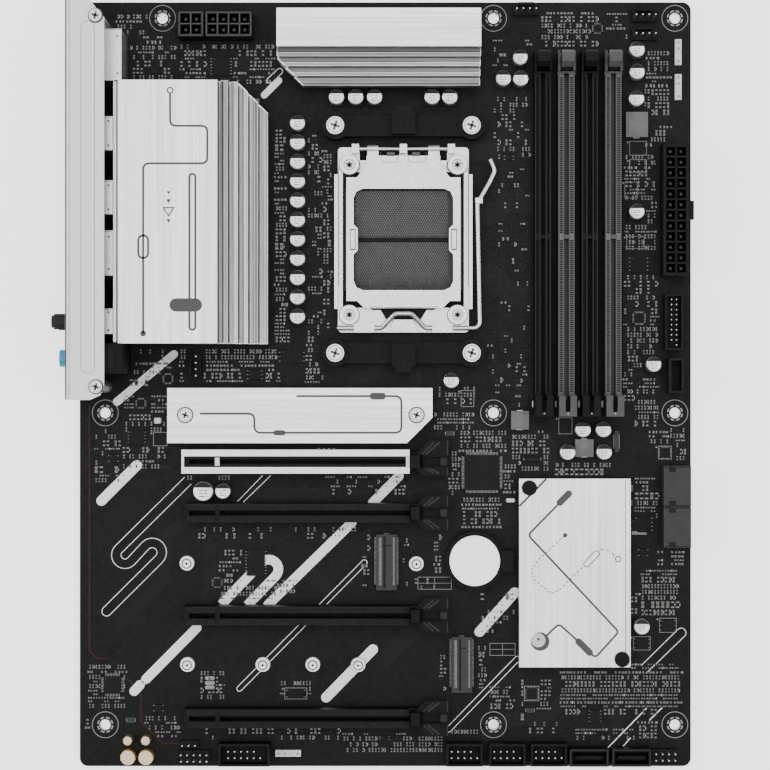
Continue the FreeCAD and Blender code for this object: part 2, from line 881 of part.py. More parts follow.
def make_audio_jacks():
    """Three jack housings, one on another, and the coloured rims that reach out of the shield."""
    inner = shield_inner_across()
    housings = []
    for row, up in enumerate(audio_rows()):
        foot = spot(inner + D["audio_depth"] / 2, AUDIO_DOWN, up - D["audio_pitch"] / 2)
        sizes = ("audio_depth", "audio_width", "audio_pitch")
        blank = block(f"jack_blank_{row}", sizes, foot)
        start = spot(inner, AUDIO_DOWN, up)
        bore = disc(f"jack_bore_{row}", "audio_jack_radius", "audio_jack_depth", start, X_AXIS)
        housings.append(cut(f"jack_housing_{row}", blank, [bore]))
    keep(group("audio_stack", housings))
    rings = []
    for row, up in enumerate(audio_rows()):
        start = spot(inner, AUDIO_DOWN, up)
        length = "audio_ring_reach + shield_thickness"
        ring = disc(f"ring_blank_{row}", "audio_ring_radius", length, start, -X_AXIS)
        bore = disc(f"ring_bore_{row}", "audio_jack_radius", length, start, -X_AXIS)
        rings.append(cut(f"ring_{row}", ring, [bore]))
    keep(group("audio_jack_rings", rings))

# --------------------------------------------------------------------------------------------
# Power stages and their heatsinks
# --------------------------------------------------------------------------------------------

LEFT_STAGE_ACROSS = 56.0
LEFT_CHOKE_ACROSS = 68.4
LEFT_STAGE_COUNT = 12
TOP_STAGE_DOWN = 15.0
TOP_CHOKE_DOWN = 28.4
TOP_STAGE_COUNT = 8
TOP_STAGE_START = 92.0


def left_stage_downs():
    return [42.5 + index * D["stage_pitch"] for index in range(LEFT_STAGE_COUNT)]


def top_stage_acrosses():
    return [TOP_STAGE_START + index * D["stage_pitch"] for index in range(TOP_STAGE_COUNT)]


def make_power_stages():
    chip = ("stage_chip_across", "stage_chip_down", "stage_chip_height")
    turned = ("stage_chip_down", "stage_chip_across", "stage_chip_height")
    coil = ("choke_side", "choke_side", "choke_height")
    chips = []
    chokes = []
    for index, down in enumerate(left_stage_downs()):
        chips.append(block(f"left_stage_{index}", chip, spot(LEFT_STAGE_ACROSS, down)))
        chokes.append(block(f"left_choke_{index}", coil, spot(LEFT_CHOKE_ACROSS, down)))
    for index, across in enumerate(top_stage_acrosses()):
        chips.append(block(f"top_stage_{index}", turned, spot(across, TOP_STAGE_DOWN)))
        chokes.append(block(f"top_choke_{index}", coil, spot(across, TOP_CHOKE_DOWN)))
    thickness = "stage_pad_top - stage_chip_height"
    run = f"{LEFT_STAGE_COUNT} * stage_pitch"
    middle = (left_stage_downs()[0] + left_stage_downs()[-1]) / 2
    left_pad = block(
        "left_stage_pad",
        ("stage_chip_across + 2", run, thickness),
        spot(LEFT_STAGE_ACROSS, middle, D["stage_chip_height"]),
    )
    middle = (top_stage_acrosses()[0] + top_stage_acrosses()[-1]) / 2
    top_pad = block(
        "top_stage_pad",
        (f"{TOP_STAGE_COUNT} * stage_pitch", "stage_chip_across + 2", thickness),
        spot(middle, TOP_STAGE_DOWN, D["stage_chip_height"]),
    )
    return chips, chokes, [left_pad, top_pad]


def stepped_profile(side, width, count, choke_edge, foot):
    """Heatsink section: bevelled plate, then grooved steps down to the low side.

    The first coordinate runs across the heatsink, the second is the height above the board.
    """
    top = f"{side}_top"
    bevel = f"{side}_bevel"
    plate = f"{side}_plate"
    low = f"{side}_low_top"
    run = f"({width} - {plate}) / {side}_steps"
    drop = f"({top} - {low}) / {side}_steps"
    points = foot + [
        (choke_edge, "stage_pad_top"),
        (choke_edge, "choke_clearance_top"),
        (width, "choke_clearance_top"),
    ]
    for step in range(count, 0, -1):
        far = f"{plate} + {step} * {run}"
        near = f"{plate} + {step - 1} * {run}"
        level = f"{top} - {step} * {drop}"
        points.append((far, level))
        points.append((f"{near} + left_sink_groove_width", level))
        points.append((f"{near} + left_sink_groove_width", f"{level} - left_sink_groove_depth"))
        points.append((near, f"{level} - left_sink_groove_depth"))
    points += [(plate, top), (bevel, top), ("0", f"{top} - 1.5 * {bevel}")]
    return points


def make_left_sink():
    place = spot(D["left_sink_start"], D["left_sink_upper_down"])
    body = new_body("left_power_heatsink", place)
    section = sketch_on(body, "XZ", "left_sink_section")
    hollow_foot = [
        ("0", "left_sink_wall_foot"),
        ("left_sink_wall", "left_sink_wall_foot"),
        ("left_sink_wall", "left_sink_hollow_top"),
        ("left_sink_wall + left_sink_hollow", "left_sink_hollow_top"),
        ("left_sink_wall + left_sink_hollow", "stage_pad_top"),
    ]
    count = int(D["left_sink_steps"])
    outline(section, stepped_profile(
        "left_sink", "left_sink_across", count, "left_sink_choke_edge", hollow_foot
    ))
    pad(body, section, "left_sink_down")
    corner = sketch_on(body, "XY", "left_sink_corner", "left_sink_top + 1")
    outline(corner, [
        ("left_sink_across - left_sink_corner_cut", "0"),
        ("left_sink_across", "-left_sink_corner_cut"),
        ("left_sink_across + 1", "-left_sink_corner_cut"),
        ("left_sink_across + 1", "1"),
        ("left_sink_across - left_sink_corner_cut", "1"),
    ])
    pocket(body, corner, "left_sink_top + 1")
    keep(body)


def make_top_sink():
    place = spot(D["top_sink_start"], D["top_sink_upper_down"] + D["top_sink_down"])
    body = new_body("top_power_heatsink", place)
    section = sketch_on(body, "YZ", "top_sink_section")
    count = int(D["top_sink_steps"])
    profile = stepped_profile(
        "top_sink", "top_sink_down", count, "top_sink_choke_edge", [("0", "stage_pad_top")]
    )
    outline(section, [(f"top_sink_down - ({y})", z) for y, z in profile])
    pad(body, section, "top_sink_across")
    corner = sketch_on(body, "XY", "top_sink_corner", "top_sink_top + 1")
    outline(corner, [
        ("0", "top_sink_corner_cut"),
        ("top_sink_corner_cut", "0"),
        ("top_sink_corner_cut", "-1"),
        ("-1", "-1"),
        ("-1", "top_sink_corner_cut"),
    ])
    pocket(body, corner, "top_sink_top + 1")
    keep(body)


def make_sink_screws():
    """Screws driven from the underside, up to the heatsinks' feet."""
    screws = []
    for index, (across, down) in enumerate(left_sink_screw_spots() + top_sink_screw_spots()):
        under = spot(across, down, -D["board_thickness"])
        head = disc(f"sink_head_{index}", "drive_screw_radius", 1.2, under, -Z_AXIS)
        length = "board_thickness + stage_pad_top"
        shank = disc(f"sink_shank_{index}", "screw_hole_radius - running_gap", length, under)
        screws.append(fuse(f"sink_screw_{index}", [head, shank]))
    return screws

# --------------------------------------------------------------------------------------------
# Processor socket. Its sub-parts are drawn about the middle of the socket, with +y towards
# the top edge of the board, and placed there.
# --------------------------------------------------------------------------------------------

def socket_place(up=0.0):
    return spot(D["socket_across"], D["socket_down"], up)


def make_socket_housing():
    body = new_body("socket_housing", socket_place())
    base = sketch_on(body, "XY", "housing_outline")
    rectangle(base, "0", "0", "housing_across", "housing_down")
    slab = pad(body, base, "housing_height")
    round_edges(body, slab, Z_AXIS, "1.2")
    well = sketch_on(body, "XY", "contact_well", "housing_height")
    rectangle(well, "0", "0", "contact_well_across", "contact_well_down")
    pocket(body, well, "contact_well_depth")
    keep(body)


def make_contact_fields():
    """Two beds of spring contacts on the floor of the housing's well."""
    floor = D["housing_height"] - D["contact_well_depth"]
    offset = (D["contact_field_down"] + D["contact_field_gap"]) / 2
    sizes = ("contact_field_across", "contact_field_down", "contact_field_height")
    fields = [
        block(f"contact_field_{index}", sizes, socket_place(floor) + Vector(0, side * offset, 0))
        for index, side in enumerate((-1, 1))
    ]
    keep(group("socket_contacts", fields))


def frame_screw_places():
    half = Vector(D["frame_screw_across"] / 2, D["frame_screw_down"] / 2, 0)
    return [Vector(sx * half.x, sy * half.y, 0) for sx in (-1, 1) for sy in (-1, 1)]


def lug(name, middle, length, size, bore):
    """Bearing lug with a bore along X, for a wire or a pin."""
    low = middle - Vector(D[length] / 2, D[size] / 2, D[size] / 2)
    blank = box(f"{name}_blank", (length, size, size), low)
    start = middle - Vector(D[length], 0, 0)
    hole = disc(f"{name}_bore", bore, f"2 * {length}", start, X_AXIS)
    return cut(name, blank, [hole])


def make_socket_frame():
    """Base frame: a pressed ring with folded side walls, gaps at the hinge, and bearing lugs."""
    up = D["frame_up"]
    body = new_body("frame_ring", socket_place(up))
    plan = sketch_on(body, "XY", "frame_ring_outline")
    rectangle(plan, "0", "0", "frame_across", "frame_down")
    rectangle(plan, "0", "0", "frame_opening_across", "frame_opening_down")
    slab = pad(body, plan, "frame_thickness")
    outer = D["frame_across"] / 2 - 0.1
    round_edges(body, slab, Z_AXIS, "1.6", lambda middle: abs(middle.x) > outer)
    walls = []
    gaps = []
    for index, side in enumerate((-1, 1)):
        wall_across = side * (D["frame_across"] + D["frame_wall_thickness"]) / 2
        middle = socket_place(up) + Vector(wall_across, D["frame_wall_offset"], 0)
        sizes = ("frame_wall_thickness", "frame_wall_down", "frame_wall_height")
        walls.append(block(f"frame_wall_{index}", sizes, middle))
        gap_across = side * (D["hinge_lug_width"] + D["frame_gap_across"] + 0.4) / 2
        gap_down = (D["frame_down"] - D["frame_gap_down"] + 1) / 2
        middle = socket_place(up - 1) + Vector(gap_across, gap_down, 0)
        sizes = ("frame_gap_across", "frame_gap_down + 1", "frame_thickness + 2")
        gaps.append(block(f"frame_gap_{index}", sizes, middle))
    ring = cut("frame_ring_gaps", body, gaps)
    feet = []
    for index, place in enumerate(frame_screw_places()):
        foot = socket_place() + place
        feet.append(disc(f"frame_foot_{index}", "frame_screw_radius", "frame_up", foot))
    lever = socket_place(D["lever_up"]) - Vector(0, D["lever_down"], 0)
    lever_bore = "lever_radius + running_gap"
    lugs = [
        lug(f"lever_lug_{index}", lever + Vector(side * 15.5, 0, 0), "lug_length", "lug_size",
            lever_bore)
        for index, side in enumerate((-1, 1))
    ]
    hinge = socket_place(D["hinge_up"]) + Vector(0, D["hinge_down"], 0)
    pin_bore = "hinge_pin_radius + running_gap"
    lugs.append(lug("hinge_lug_middle", hinge, "hinge_lug_width", "lug_size", pin_bore))
    for index, side in enumerate((-1, 1)):
        place = hinge + Vector(side * 19.0, 0, 0)
        lugs.append(lug(f"hinge_lug_{index}", place, "hinge_lug_width", "lug_size", pin_bore))
    legs = []
    leg_height = D["hinge_up"] - D["lug_size"] / 2 - up
    for index, x in enumerate((-19.0, 0.0, 19.0)):
        foot = socket_place(up) + Vector(x, D["hinge_down"], 0)
        legs.append(block(f"hinge_leg_{index}", ("hinge_lug_width", 2.4, leg_height + 0.2), foot))
    for index, x in enumerate((-15.5, 15.5)):
        foot = socket_place(up) + Vector(x, -D["lever_down"], 0)
        legs.append(block(f"lever_leg_{index}", ("lug_length", 2.4, 1.6), foot))
    keep(fuse("socket_frame", [ring] + walls + feet + lugs + legs))


def make_frame_screws():
    screws = []
    top = D["frame_up"] + D["frame_thickness"]
    for index, place in enumerate(frame_screw_places()):
        foot = socket_place(top) + place
        head = disc(f"frame_head_{index}", "frame_screw_radius", "frame_screw_head", foot)
        drive = torx_recess(f"frame_drive_{index}", foot + Vector(0, 0, D["frame_screw_head"]))
        screws.append(cut(f"frame_screw_{index}", head, [drive]))
    keep(group("socket_screws", screws))


def torx_recess(name, top):
    """Six-lobed recess: three crossed boxes sunk into a screw's top."""
    bars = []
    for turn in (0, 60, 120):
        bar = box(f"{name}_bar{turn}", (4.0, 1.1, 2.4), Vector(0, 0, 0))
        spin = Rotation(Z_AXIS, turn)
        bar.Placement = Placement(top + spin.multVec(Vector(-2.0, -0.55, -1.4)), spin)
        bars.append(bar)
    return fuse(name, bars)


def make_load_plate():
    """Hinged plate with a window, notched corners, and two curls round the hinge pin."""
    body = new_body("plate_blank", socket_place(D["plate_up"]))
    half = "plate_across / 2"
    inner = f"{half} - plate_notch_across"
    slope = f"{inner} + plate_notch_slope"
    face = sketch_on(body, "XY", "plate_outline")
    right = [
        (f"{inner}", "-plate_front"),
        (slope, "-plate_front_notch"),
        (half, "-plate_front_notch"),
        (half, "plate_back_notch"),
        (slope, "plate_back_notch"),
        (f"{inner} - 1", "plate_back_notch + 5"),
        (f"{inner} - 1", "plate_back"),
    ]
    left = [(f"-({x})", y) for x, y in reversed(right)]
    outline(face, right + left)
    pad(body, face, "plate_thickness")
    window = sketch_on(body, "XY", "plate_window", "plate_thickness")
    wide = "window_across / 2"
    tall = "window_down / 2"
    tab = "window_lip_length / 2"
    corner = "window_corner_radius"
    reach = f"{wide} - window_lip_reach"
    quarter = [
        (reach, tab),
        (wide, f"{tab} + window_lip_reach"),
        (wide, f"{tall} - {corner}"),
        (f"{wide} - 0.3 * {corner}", f"{tall} - 0.3 * {corner}"),
        (f"{wide} - {corner}", tall),
    ]
    upper_left = [(f"-({x})", y) for x, y in reversed(quarter)]
    upper = quarter + upper_left
    lower = [(x, f"-({y})") for x, y in reversed(upper)]
    outline(window, upper + lower)
    pocket(body, window, "plate_thickness")
    curls = []
    hinge = socket_place(D["hinge_up"]) + Vector(0, D["hinge_down"], 0)
    for index, side in enumerate((-1, 1)):
        start = hinge + Vector(side * D["hinge_curl_across"] - D["hinge_curl_width"] / 2, 0, 0)
        curls.append(disc(f"curl_{index}", "hinge_curl_radius", "hinge_curl_width", start, X_AXIS))
        arm = socket_place(D["plate_up"]) + Vector(
            side * D["hinge_curl_across"] - D["hinge_curl_width"] / 2, D["plate_back"] - 0.5, 0
        )
        length = "hinge_down - plate_back + 0.5"
        curls.append(box(f"curl_arm_{index}", ("hinge_curl_width", length, "plate_thickness"), arm))
    start = hinge - Vector(D["hinge_pin_length"], 0, 0)
    bore = disc(
        "plate_bore", "hinge_pin_radius + running_gap", "2 * hinge_pin_length", start, X_AXIS
    )
    keep(cut("load_plate", fuse("plate_with_curls", [body] + curls), [bore]))


def make_hinge_pin():
    hinge = socket_place(D["hinge_up"]) + Vector(0, D["hinge_down"], 0)
    start = hinge - Vector(D["hinge_pin_length"] / 2 + 2.4, 0, 0)
    keep(disc("plate_hinge_pin", "hinge_pin_radius", "hinge_pin_length + 4.8", start, X_AXIS))


def lever_route():
    """Corners of the lever wire, from its free end under the frame to the finger end."""
    start = D["lever_start"]
    side = D["lever_side"]
    foot = D["lever_crank_foot"]
    half = D["lever_crank_half"]
    reach = D["lever_crank_reach"]
    top = D["lever_side_top"]
    rise = 1.6
    return [
        Vector(-start, 0, 0),
        Vector(-foot, 0, 0),
        Vector(-half, reach, 2.6),
        Vector(half, reach, 2.6),
        Vector(foot, 0, 0),
        Vector(side, 0, 0),
        Vector(top, 49.5, rise),
        Vector(top + 4.6, 57.5, rise + 1.0),
        Vector(top + 6.9, 62.4, rise + 1.4),
        Vector(top + 5.0, 66.8, rise + 1.4),
    ]


def rounded_path(points, radius):
    """Straight runs joined by tangent arcs, as one wire."""
    edges = []
    start = points[0]
    for before, corner, after in zip(points, points[1:], points[2:]):
        back = (before - corner).normalize()
        ahead = (after - corner).normalize()
        half_turn = (math.pi - back.getAngle(ahead)) / 2
        room = 0.45 * min(before.distanceToPoint(corner), after.distanceToPoint(corner))
        reach = min(radius * math.tan(half_turn), room)
        bend = reach / math.tan(half_turn)
        bisector = (back + ahead).normalize()
        centre = corner + bisector * (bend / math.cos(half_turn))
        middle = centre - bisector * bend
        enter = corner + back * reach
        leave = corner + ahead * reach
        edges.append(Part.LineSegment(start, enter).toShape())
        edges.append(Part.Arc(enter, middle, leave).toShape())
        start = leave
    edges.append(Part.LineSegment(start, points[-1]).toShape())
    return Part.Wire(edges)


def make_load_lever():
    path = rounded_path(lever_route(), D["lever_bend_radius"])
    ring = Part.Wire(Part.makeCircle(D["lever_radius"], lever_route()[0], X_AXIS))
    lever = doc.addObject("Part::Feature", "load_lever")
    lever.Shape = path.makePipeShell([ring], True, True)
    pivot = socket_place(D["lever_up"]) - Vector(0, D["lever_down"], 0)
    lever.Placement = Placement(pivot, Rotation())
    keep(lever)


def make_backplate():
    under = socket_place(-D["board_thickness"] - D["backplate_thickness"])
    sizes = ("backplate_across", "backplate_down", "backplate_thickness")
    blank = block("backplate_blank", sizes, under)
    opening = block(
        "backplate_opening",
        ("backplate_opening", "backplate_opening", "backplate_thickness + 2"),
        under - Vector(0, 0, 1),
    )
    holes = [
        disc(f"backplate_hole_{index}", "screw_hole_radius", "backplate_thickness",
             spot(across, down, -D["board_thickness"]), -Z_AXIS)
        for index, (across, down) in enumerate(cooler_screw_spots())
    ]
    keep(cut("socket_backplate", blank, [opening] + holes))

# --------------------------------------------------------------------------------------------
# Cooler brackets
# --------------------------------------------------------------------------------------------

def make_cooler_bracket(label, side):
    """Bar between two screws with a hook in its middle; side is +1 for the upper bracket."""
    place = socket_place() + Vector(0, side * D["cooler_down"] / 2, 0)
    wide = "cooler_across"
    bar = block(f"{label}_bar", (wide, "cooler_bar_down", "cooler_bar_height"), place)
    ends = []
    holes = []
    for index, turn in enumerate((-1, 1)):
        foot = place + Vector(turn * D["cooler_across"] / 2, 0, 0)
        ends.append(disc(f"{label}_end_{index}", "cooler_end_radius", "cooler_post_height", foot))
        radius = "cooler_shank_radius + running_gap"
        holes.append(disc(f"{label}_hole_{index}", radius, "cooler_post_height", foot))
    middle = place + Vector(0, side * 1.0, 0)
    hook = block(
        f"{label}_hook", ("cooler_hook_across", "cooler_hook_down", "cooler_hook_height"), middle
    )
    low = place + Vector(0, side * (D["cooler_hook_down"] / 2 + 1.6), D["cooler_hook_height"] - 3.4)
    tip = block(f"{label}_tip", ("cooler_hook_tip", 3.2, 3.4), low)
    arch = block(
        f"{label}_arch", ("cooler_across - 3 * cooler_end_radius", "cooler_bar_down + 1", 2.4), place
    )
    solid = fuse(f"{label}_solid", [bar, hook, tip] + ends)
    return cut(label, solid, [arch] + holes)


def make_cooler_screws():
    """Each screw is a slotted pan head on a shank that ends in the backplate."""
    screws = []
    for index, (across, down) in enumerate(cooler_screw_spots()):
        top = spot(across, down, D["cooler_post_height"])
        head = disc(f"cooler_head_{index}", "cooler_screw_radius", "cooler_screw_head", top)
        drive = phillips(f"cooler_drive_{index}", top, "cooler_screw_head", 2.1)
        slotted = cut(f"cooler_slotted_head_{index}", head, [drive])
        length = "cooler_post_height + board_thickness + backplate_thickness"
        shank = disc(f"cooler_shank_{index}", "cooler_shank_radius", length, top, -Z_AXIS)
        screws.append(fuse(f"cooler_screw_{index}", [slotted, shank]))
    keep(group("cooler_screws", screws))


# --------------------------------------------------------------------------------------------
# Memory slots
# --------------------------------------------------------------------------------------------

def memory_slot_across(index):
    return D["memory_first_across"] + index * D["memory_pitch"]


def make_memory_slot(index):
    """Slot body, drawn from the end of its straight part at the latch, running along -y."""
    start_down = D["memory_start_down"] + D["memory_cheek_down"]
    place = spot(memory_slot_across(index), start_down)
    body = new_body(f"memory_bar_{index}", place)
    run = "memory_end_down - memory_start_down - memory_cheek_down"
    base = sketch_on(body, "XY", f"memory_base_{index}")
    rectangle(base, "0", f"-({run}) / 2", "memory_width", run)
    pad(body, base, "memory_height")
    tower = sketch_on(body, "XY", f"memory_tower_{index}")
    rectangle(tower, "0", f"-({run}) + memory_tower_down / 2", "memory_width", "memory_tower_down")
    pad(body, tower, "memory_tower_height")
    groove = sketch_on(body, "XY", f"memory_groove_{index}", "memory_tower_height")
    key = "memory_key_down - memory_start_down - memory_cheek_down"
    rectangle(groove, "0", f"-({key}) / 2", "memory_groove_width", f"{key} - memory_key_length")
    far = f"{run} - 0.45 * memory_tower_down"
    rectangle(
        groove, "0", f"-({key} + {far}) / 2", "memory_groove_width",
        f"{far} - ({key}) - memory_key_length",
    )
    pocket(body, groove, "memory_tower_height - memory_height + memory_groove_depth")
    cheeks = []
    pivot = memory_pivot(index)
    for turn in (-1, 1):
        offset = turn * (D["memory_width"] - D["memory_cheek_thickness"]) / 2
        middle = place + Vector(offset, D["memory_cheek_down"] / 2, 0)
        sizes = ("memory_cheek_thickness", "memory_cheek_down", "memory_cheek_height")
        cheeks.append(block(f"memory_cheek_{index}_{turn + 1}", sizes, middle))
    floor = place + Vector(0, D["memory_cheek_down"] / 2, 0)
    cheeks.append(block(f"memory_floor_{index}", ("memory_width", "memory_cheek_down", 1.0), floor))
    bore = disc(
        f"memory_bore_{index}", "memory_pivot_radius + running_gap", "2 * memory_width",
        pivot - Vector(D["memory_width"], 0, 0), X_AXIS,
    )
    solid = fuse(f"memory_solid_{index}", [body] + cheeks)
    return cut(f"memory_slot_{index + 1}", solid, [bore])


def memory_pivot(index):
    down = D["memory_start_down"] + D["memory_pivot_back"]
    return spot(memory_slot_across(index), down, D["memory_pivot_up"])


def make_memory_latch(index):
    """Latch drawn about its pivot: a toe under the module, a stem and a finger tab."""
    body = new_body(f"memory_latch_blank_{index}", memory_pivot(index))
    side = sketch_on(body, "YZ", f"memory_latch_side_{index}", "-memory_latch_width / 2")
    tall = "memory_latch_height - memory_pivot_up"
    outline(side, [
        ("-3.9", "-1.6"),
        ("-3.9", "-0.4"),
        ("-2.2", "0.6"),
        ("-2.2", f"{tall} - 5.2"),
        ("-3.6", f"{tall} - 3.6"),
        ("-3.6", f"{tall} - 2.2"),
        ("-1.6", f"{tall}"),
        ("1.6", f"{tall}"),
        ("2.9", f"{tall} - 1.6"),
        ("1.4", f"{tall} - 4.0"),
        ("1.6", "-0.4"),
        ("0.4", "-1.8"),
    ])
    pad(body, side, "memory_latch_width")
    pivot = memory_pivot(index)
    start = pivot - Vector(D["memory_width"] / 2, 0, 0)
    pin = disc(f"memory_pin_{index}", "memory_pivot_radius", "memory_width", start, X_AXIS)
    keep(fuse(f"memory_latch_{index + 1}", [body, pin]))


# --------------------------------------------------------------------------------------------
# Expansion slots
# --------------------------------------------------------------------------------------------

EXPANSION_ROWS = (
    "expansion_first_down", "expansion_second_down", "expansion_third_down",
    "expansion_fourth_down",
)
PADDLE_WINGS = [(8.4, 5.6), (7.0, 7.0), (7.0, 7.0), (7.0, 7.0)]


def expansion_pivot(index):
    across = D["expansion_start"] + D["expansion_length"] + D["expansion_pivot_ahead"]
    return spot(across, D[EXPANSION_ROWS[index]], D["expansion_pivot_up"])


def make_expansion_slot(index):
    """Slot body drawn from its rear end along +x, with a keyed groove and two latch cheeks."""
    place = spot(D["expansion_start"], D[EXPANSION_ROWS[index]])
    body = new_body(f"expansion_bar_{index}", place)
    base = sketch_on(body, "XY", f"expansion_base_{index}")
    rectangle(base, "expansion_length / 2", "0", "expansion_length", "expansion_width")
    pad(body, base, "expansion_height")
    groove = sketch_on(body, "XY", f"expansion_groove_{index}", "expansion_height")
    key = "expansion_key_start"
    rectangle(groove, f"({key} + 2) / 2", "0", f"{key} - 2", "expansion_groove_width")
    start = f"({key} + expansion_key_length)"
    rectangle(
        groove, f"({start} + expansion_length) / 2", "0", f"expansion_length - {start}",
        "expansion_groove_width",
    )
    pocket(body, groove, "expansion_groove_depth")
    pieces = [body]
    end = place + Vector(D["expansion_length"] + D["expansion_cheek_length"] / 2, 0, 0)
    for turn in (-1, 1):
        offset = turn * (D["expansion_width"] - D["expansion_cheek_thickness"]) / 2
        sizes = ("expansion_cheek_length", "expansion_cheek_thickness", "0.6 * expansion_height")
        name = f"expansion_cheek_{index}_{turn + 1}"
        pieces.append(block(name, sizes, end + Vector(0, offset, 0)))
    bore = disc(
        f"expansion_bore_{index}", "expansion_pivot_radius + running_gap", "2 * expansion_width",
        expansion_pivot(index) - Vector(0, D["expansion_width"], 0), Y_AXIS,
    )
    return cut(f"expansion_slot_{index + 1}", fuse(f"expansion_solid_{index}", pieces), [bore])


def make_latch_paddle(index):
    """Fan-shaped plate that the latch is pressed by, with a rib on each side of its channel."""
    body = new_body(f"expansion_paddle_{index}", expansion_pivot(index))
    plate = sketch_on(body, "XY", f"expansion_fan_{index}", "expansion_paddle_up")
    reach = "expansion_latch_reach - expansion_pivot_ahead"
    left, right = PADDLE_WINGS[index]
    start = -3.2
    waist = 2.4
    outline(plate, [
        (start, waist), (f"{left} + {start} - {waist}", left), (reach, left),
        (reach, -right), (f"{right} + {start} - {waist}", -right), (start, -waist),
    ])
    pad(body, plate, "expansion_paddle_thickness")
    ribs = sketch_on(body, "XY", f"expansion_ribs_{index}", "expansion_paddle_up")
    for turn in (-1, 1):
        offset = f"{turn} * (expansion_channel_width / 2 + 0.2)"
        rectangle(ribs, f"({reach} + 3.2) / 2", offset, f"{reach} - 3.2", "0.4")
    pad(body, ribs, "expansion_paddle_thickness + 0.8")
    return body


def make_expansion_latch(index):
    """Latch drawn about its pivot: a hook at the slot's end and a paddle to press down."""
    body = new_body(f"expansion_latch_blank_{index}", expansion_pivot(index))
    side = sketch_on(body, "XZ", f"expansion_latch_side_{index}", "-expansion_latch_width / 2")
    tall = "expansion_latch_height - expansion_pivot_up"
    reach = "expansion_latch_reach - expansion_pivot_ahead"
    outline(side, [
        ("-4.6", f"{tall} - 4.0"),
        ("-4.6", f"{tall}"),
        ("-1.0", f"{tall}"),
        ("0.4", f"{tall} - 3.4"),
        (f"{reach} - 1.0", f"{tall} - 4.4"),
        (reach, f"{tall} - 6.0"),
        (reach, f"{tall} - 7.0"),
        ("2.2", "1.2"),
        ("1.4", "-1.6"),
        ("-1.4", "-1.6"),
        ("-1.8", f"{tall} - 4.0"),
    ])
    pad(body, side, "expansion_latch_width")
    start = expansion_pivot(index) - Vector(0, D["expansion_width"] / 2, 0)
    radius = "expansion_pivot_radius"
    pin = disc(f"expansion_pin_{index}", radius, "expansion_width", start, Y_AXIS)
    solid = fuse(f"expansion_latch_solid_{index}", [body, pin, make_latch_paddle(index)])
    foot = expansion_pivot(index) + Vector(0.6 + D["expansion_channel_length"] / 2, 0, 4.2)
    sizes = ("expansion_channel_length", "expansion_channel_width", "expansion_paddle_up")
    channel = block(f"expansion_channel_{index}", sizes, foot)
    keep(cut(f"expansion_latch_{index + 1}", solid, [channel]))


def make_slot_cladding():
    """Folded steel sleeve round the first expansion slot, open along the groove."""
    thickness = D["expansion_cladding"]
    place = spot(D["expansion_start"] - thickness, D["expansion_first_down"])
    body = new_body("slot_cladding", place)
    section = sketch_on(body, "YZ", "cladding_section")
    inner = "expansion_width / 2"
    outer = f"{inner} + expansion_cladding"
    lip = "cladding_opening / 2"
    top = "expansion_height"
    upper = f"{top} + expansion_cladding"
    outline(section, [
        (inner, "0"), (outer, "0"), (outer, upper), (lip, upper), (lip, top), (inner, top),
    ])
    left = [(f"-({y})", z) for y, z in (
        (inner, "0"), (outer, "0"), (outer, upper), (lip, upper), (lip, top), (inner, top),
    )]
    outline(section, left)
    pad(body, section, "expansion_length + expansion_cladding")
    end = sketch_on(body, "YZ", "cladding_end")
    rectangle(end, "0", f"({upper}) / 2", f"2 * ({outer})", upper)
    pad(body, end, "expansion_cladding")
    keep(body)

# --------------------------------------------------------------------------------------------
# Drive heatsink, drive sockets and standoffs
# --------------------------------------------------------------------------------------------

DRIVE_CONNECTOR_SPOTS = [(124.0, 164.6), (122.4, 223.2), (152.4, 264.0)]
STANDOFF_SPOTS = [
    (42.8, 223.8), (134.3, 224.0), (43.0, 264.2), (73.1, 264.2), (93.0, 264.2), (111.1, 264.3),
]


def make_drive_sink():
    place = spot(D["drive_sink_start"], D["drive_sink_upper_down"], D["drive_sink_up"])
    body = new_body("drive_heatsink", place)
    face = sketch_on(body, "XY", "drive_sink_face")
    outline(face, [
        ("0", "0"),
        ("0", "-drive_sink_down"),
        ("drive_sink_across - drive_sink_corner_cut", "-drive_sink_down"),
        ("drive_sink_across", "-drive_sink_down + drive_sink_corner_cut"),
        ("drive_sink_across", "0"),
    ])
    row = D["drive_sink_upper_down"] - D["drive_screw_down"]
    for screw in ("drive_screw_first", "drive_screw_second"):
        circle(face, f"{screw} - drive_sink_start", row, "standoff_bore_radius + running_gap")
    pad(body, face, "drive_sink_thickness")
    keep(body)
    screws = []
    posts = []
    for index, name in enumerate(("drive_screw_first", "drive_screw_second")):
        top = spot(D[name], D["drive_screw_down"], D["drive_sink_up"] + D["drive_sink_thickness"])
        head = disc(f"drive_head_{index}", "drive_screw_radius", "drive_screw_head", top)
        shank = disc(
            f"drive_shank_{index}", "standoff_bore_radius", "drive_sink_thickness + 3", top, -Z_AXIS
        )
        screws.append(fuse(f"drive_screw_{index}", [head, shank]))
        foot = spot(D[name], D["drive_screw_down"])
        post = disc(f"drive_post_{index}", "drive_post_radius", "drive_sink_up", foot)
        bore = disc(
            f"drive_post_bore_{index}", "standoff_bore_radius + running_gap", "drive_sink_up", foot
        )
        posts.append(cut(f"drive_post_cut_{index}", post, [bore]))
    low = spot(D["drive_pad_start"], D["drive_screw_down"], D["drive_sink_up"])
    low = low - Vector(0, D["drive_sink_down"] * 0.4, D["drive_pad_thickness"])
    sizes = ("drive_pad_across", "0.8 * drive_sink_down", "drive_pad_thickness")
    return posts, screws, box("drive_thermal_pad", sizes, low)


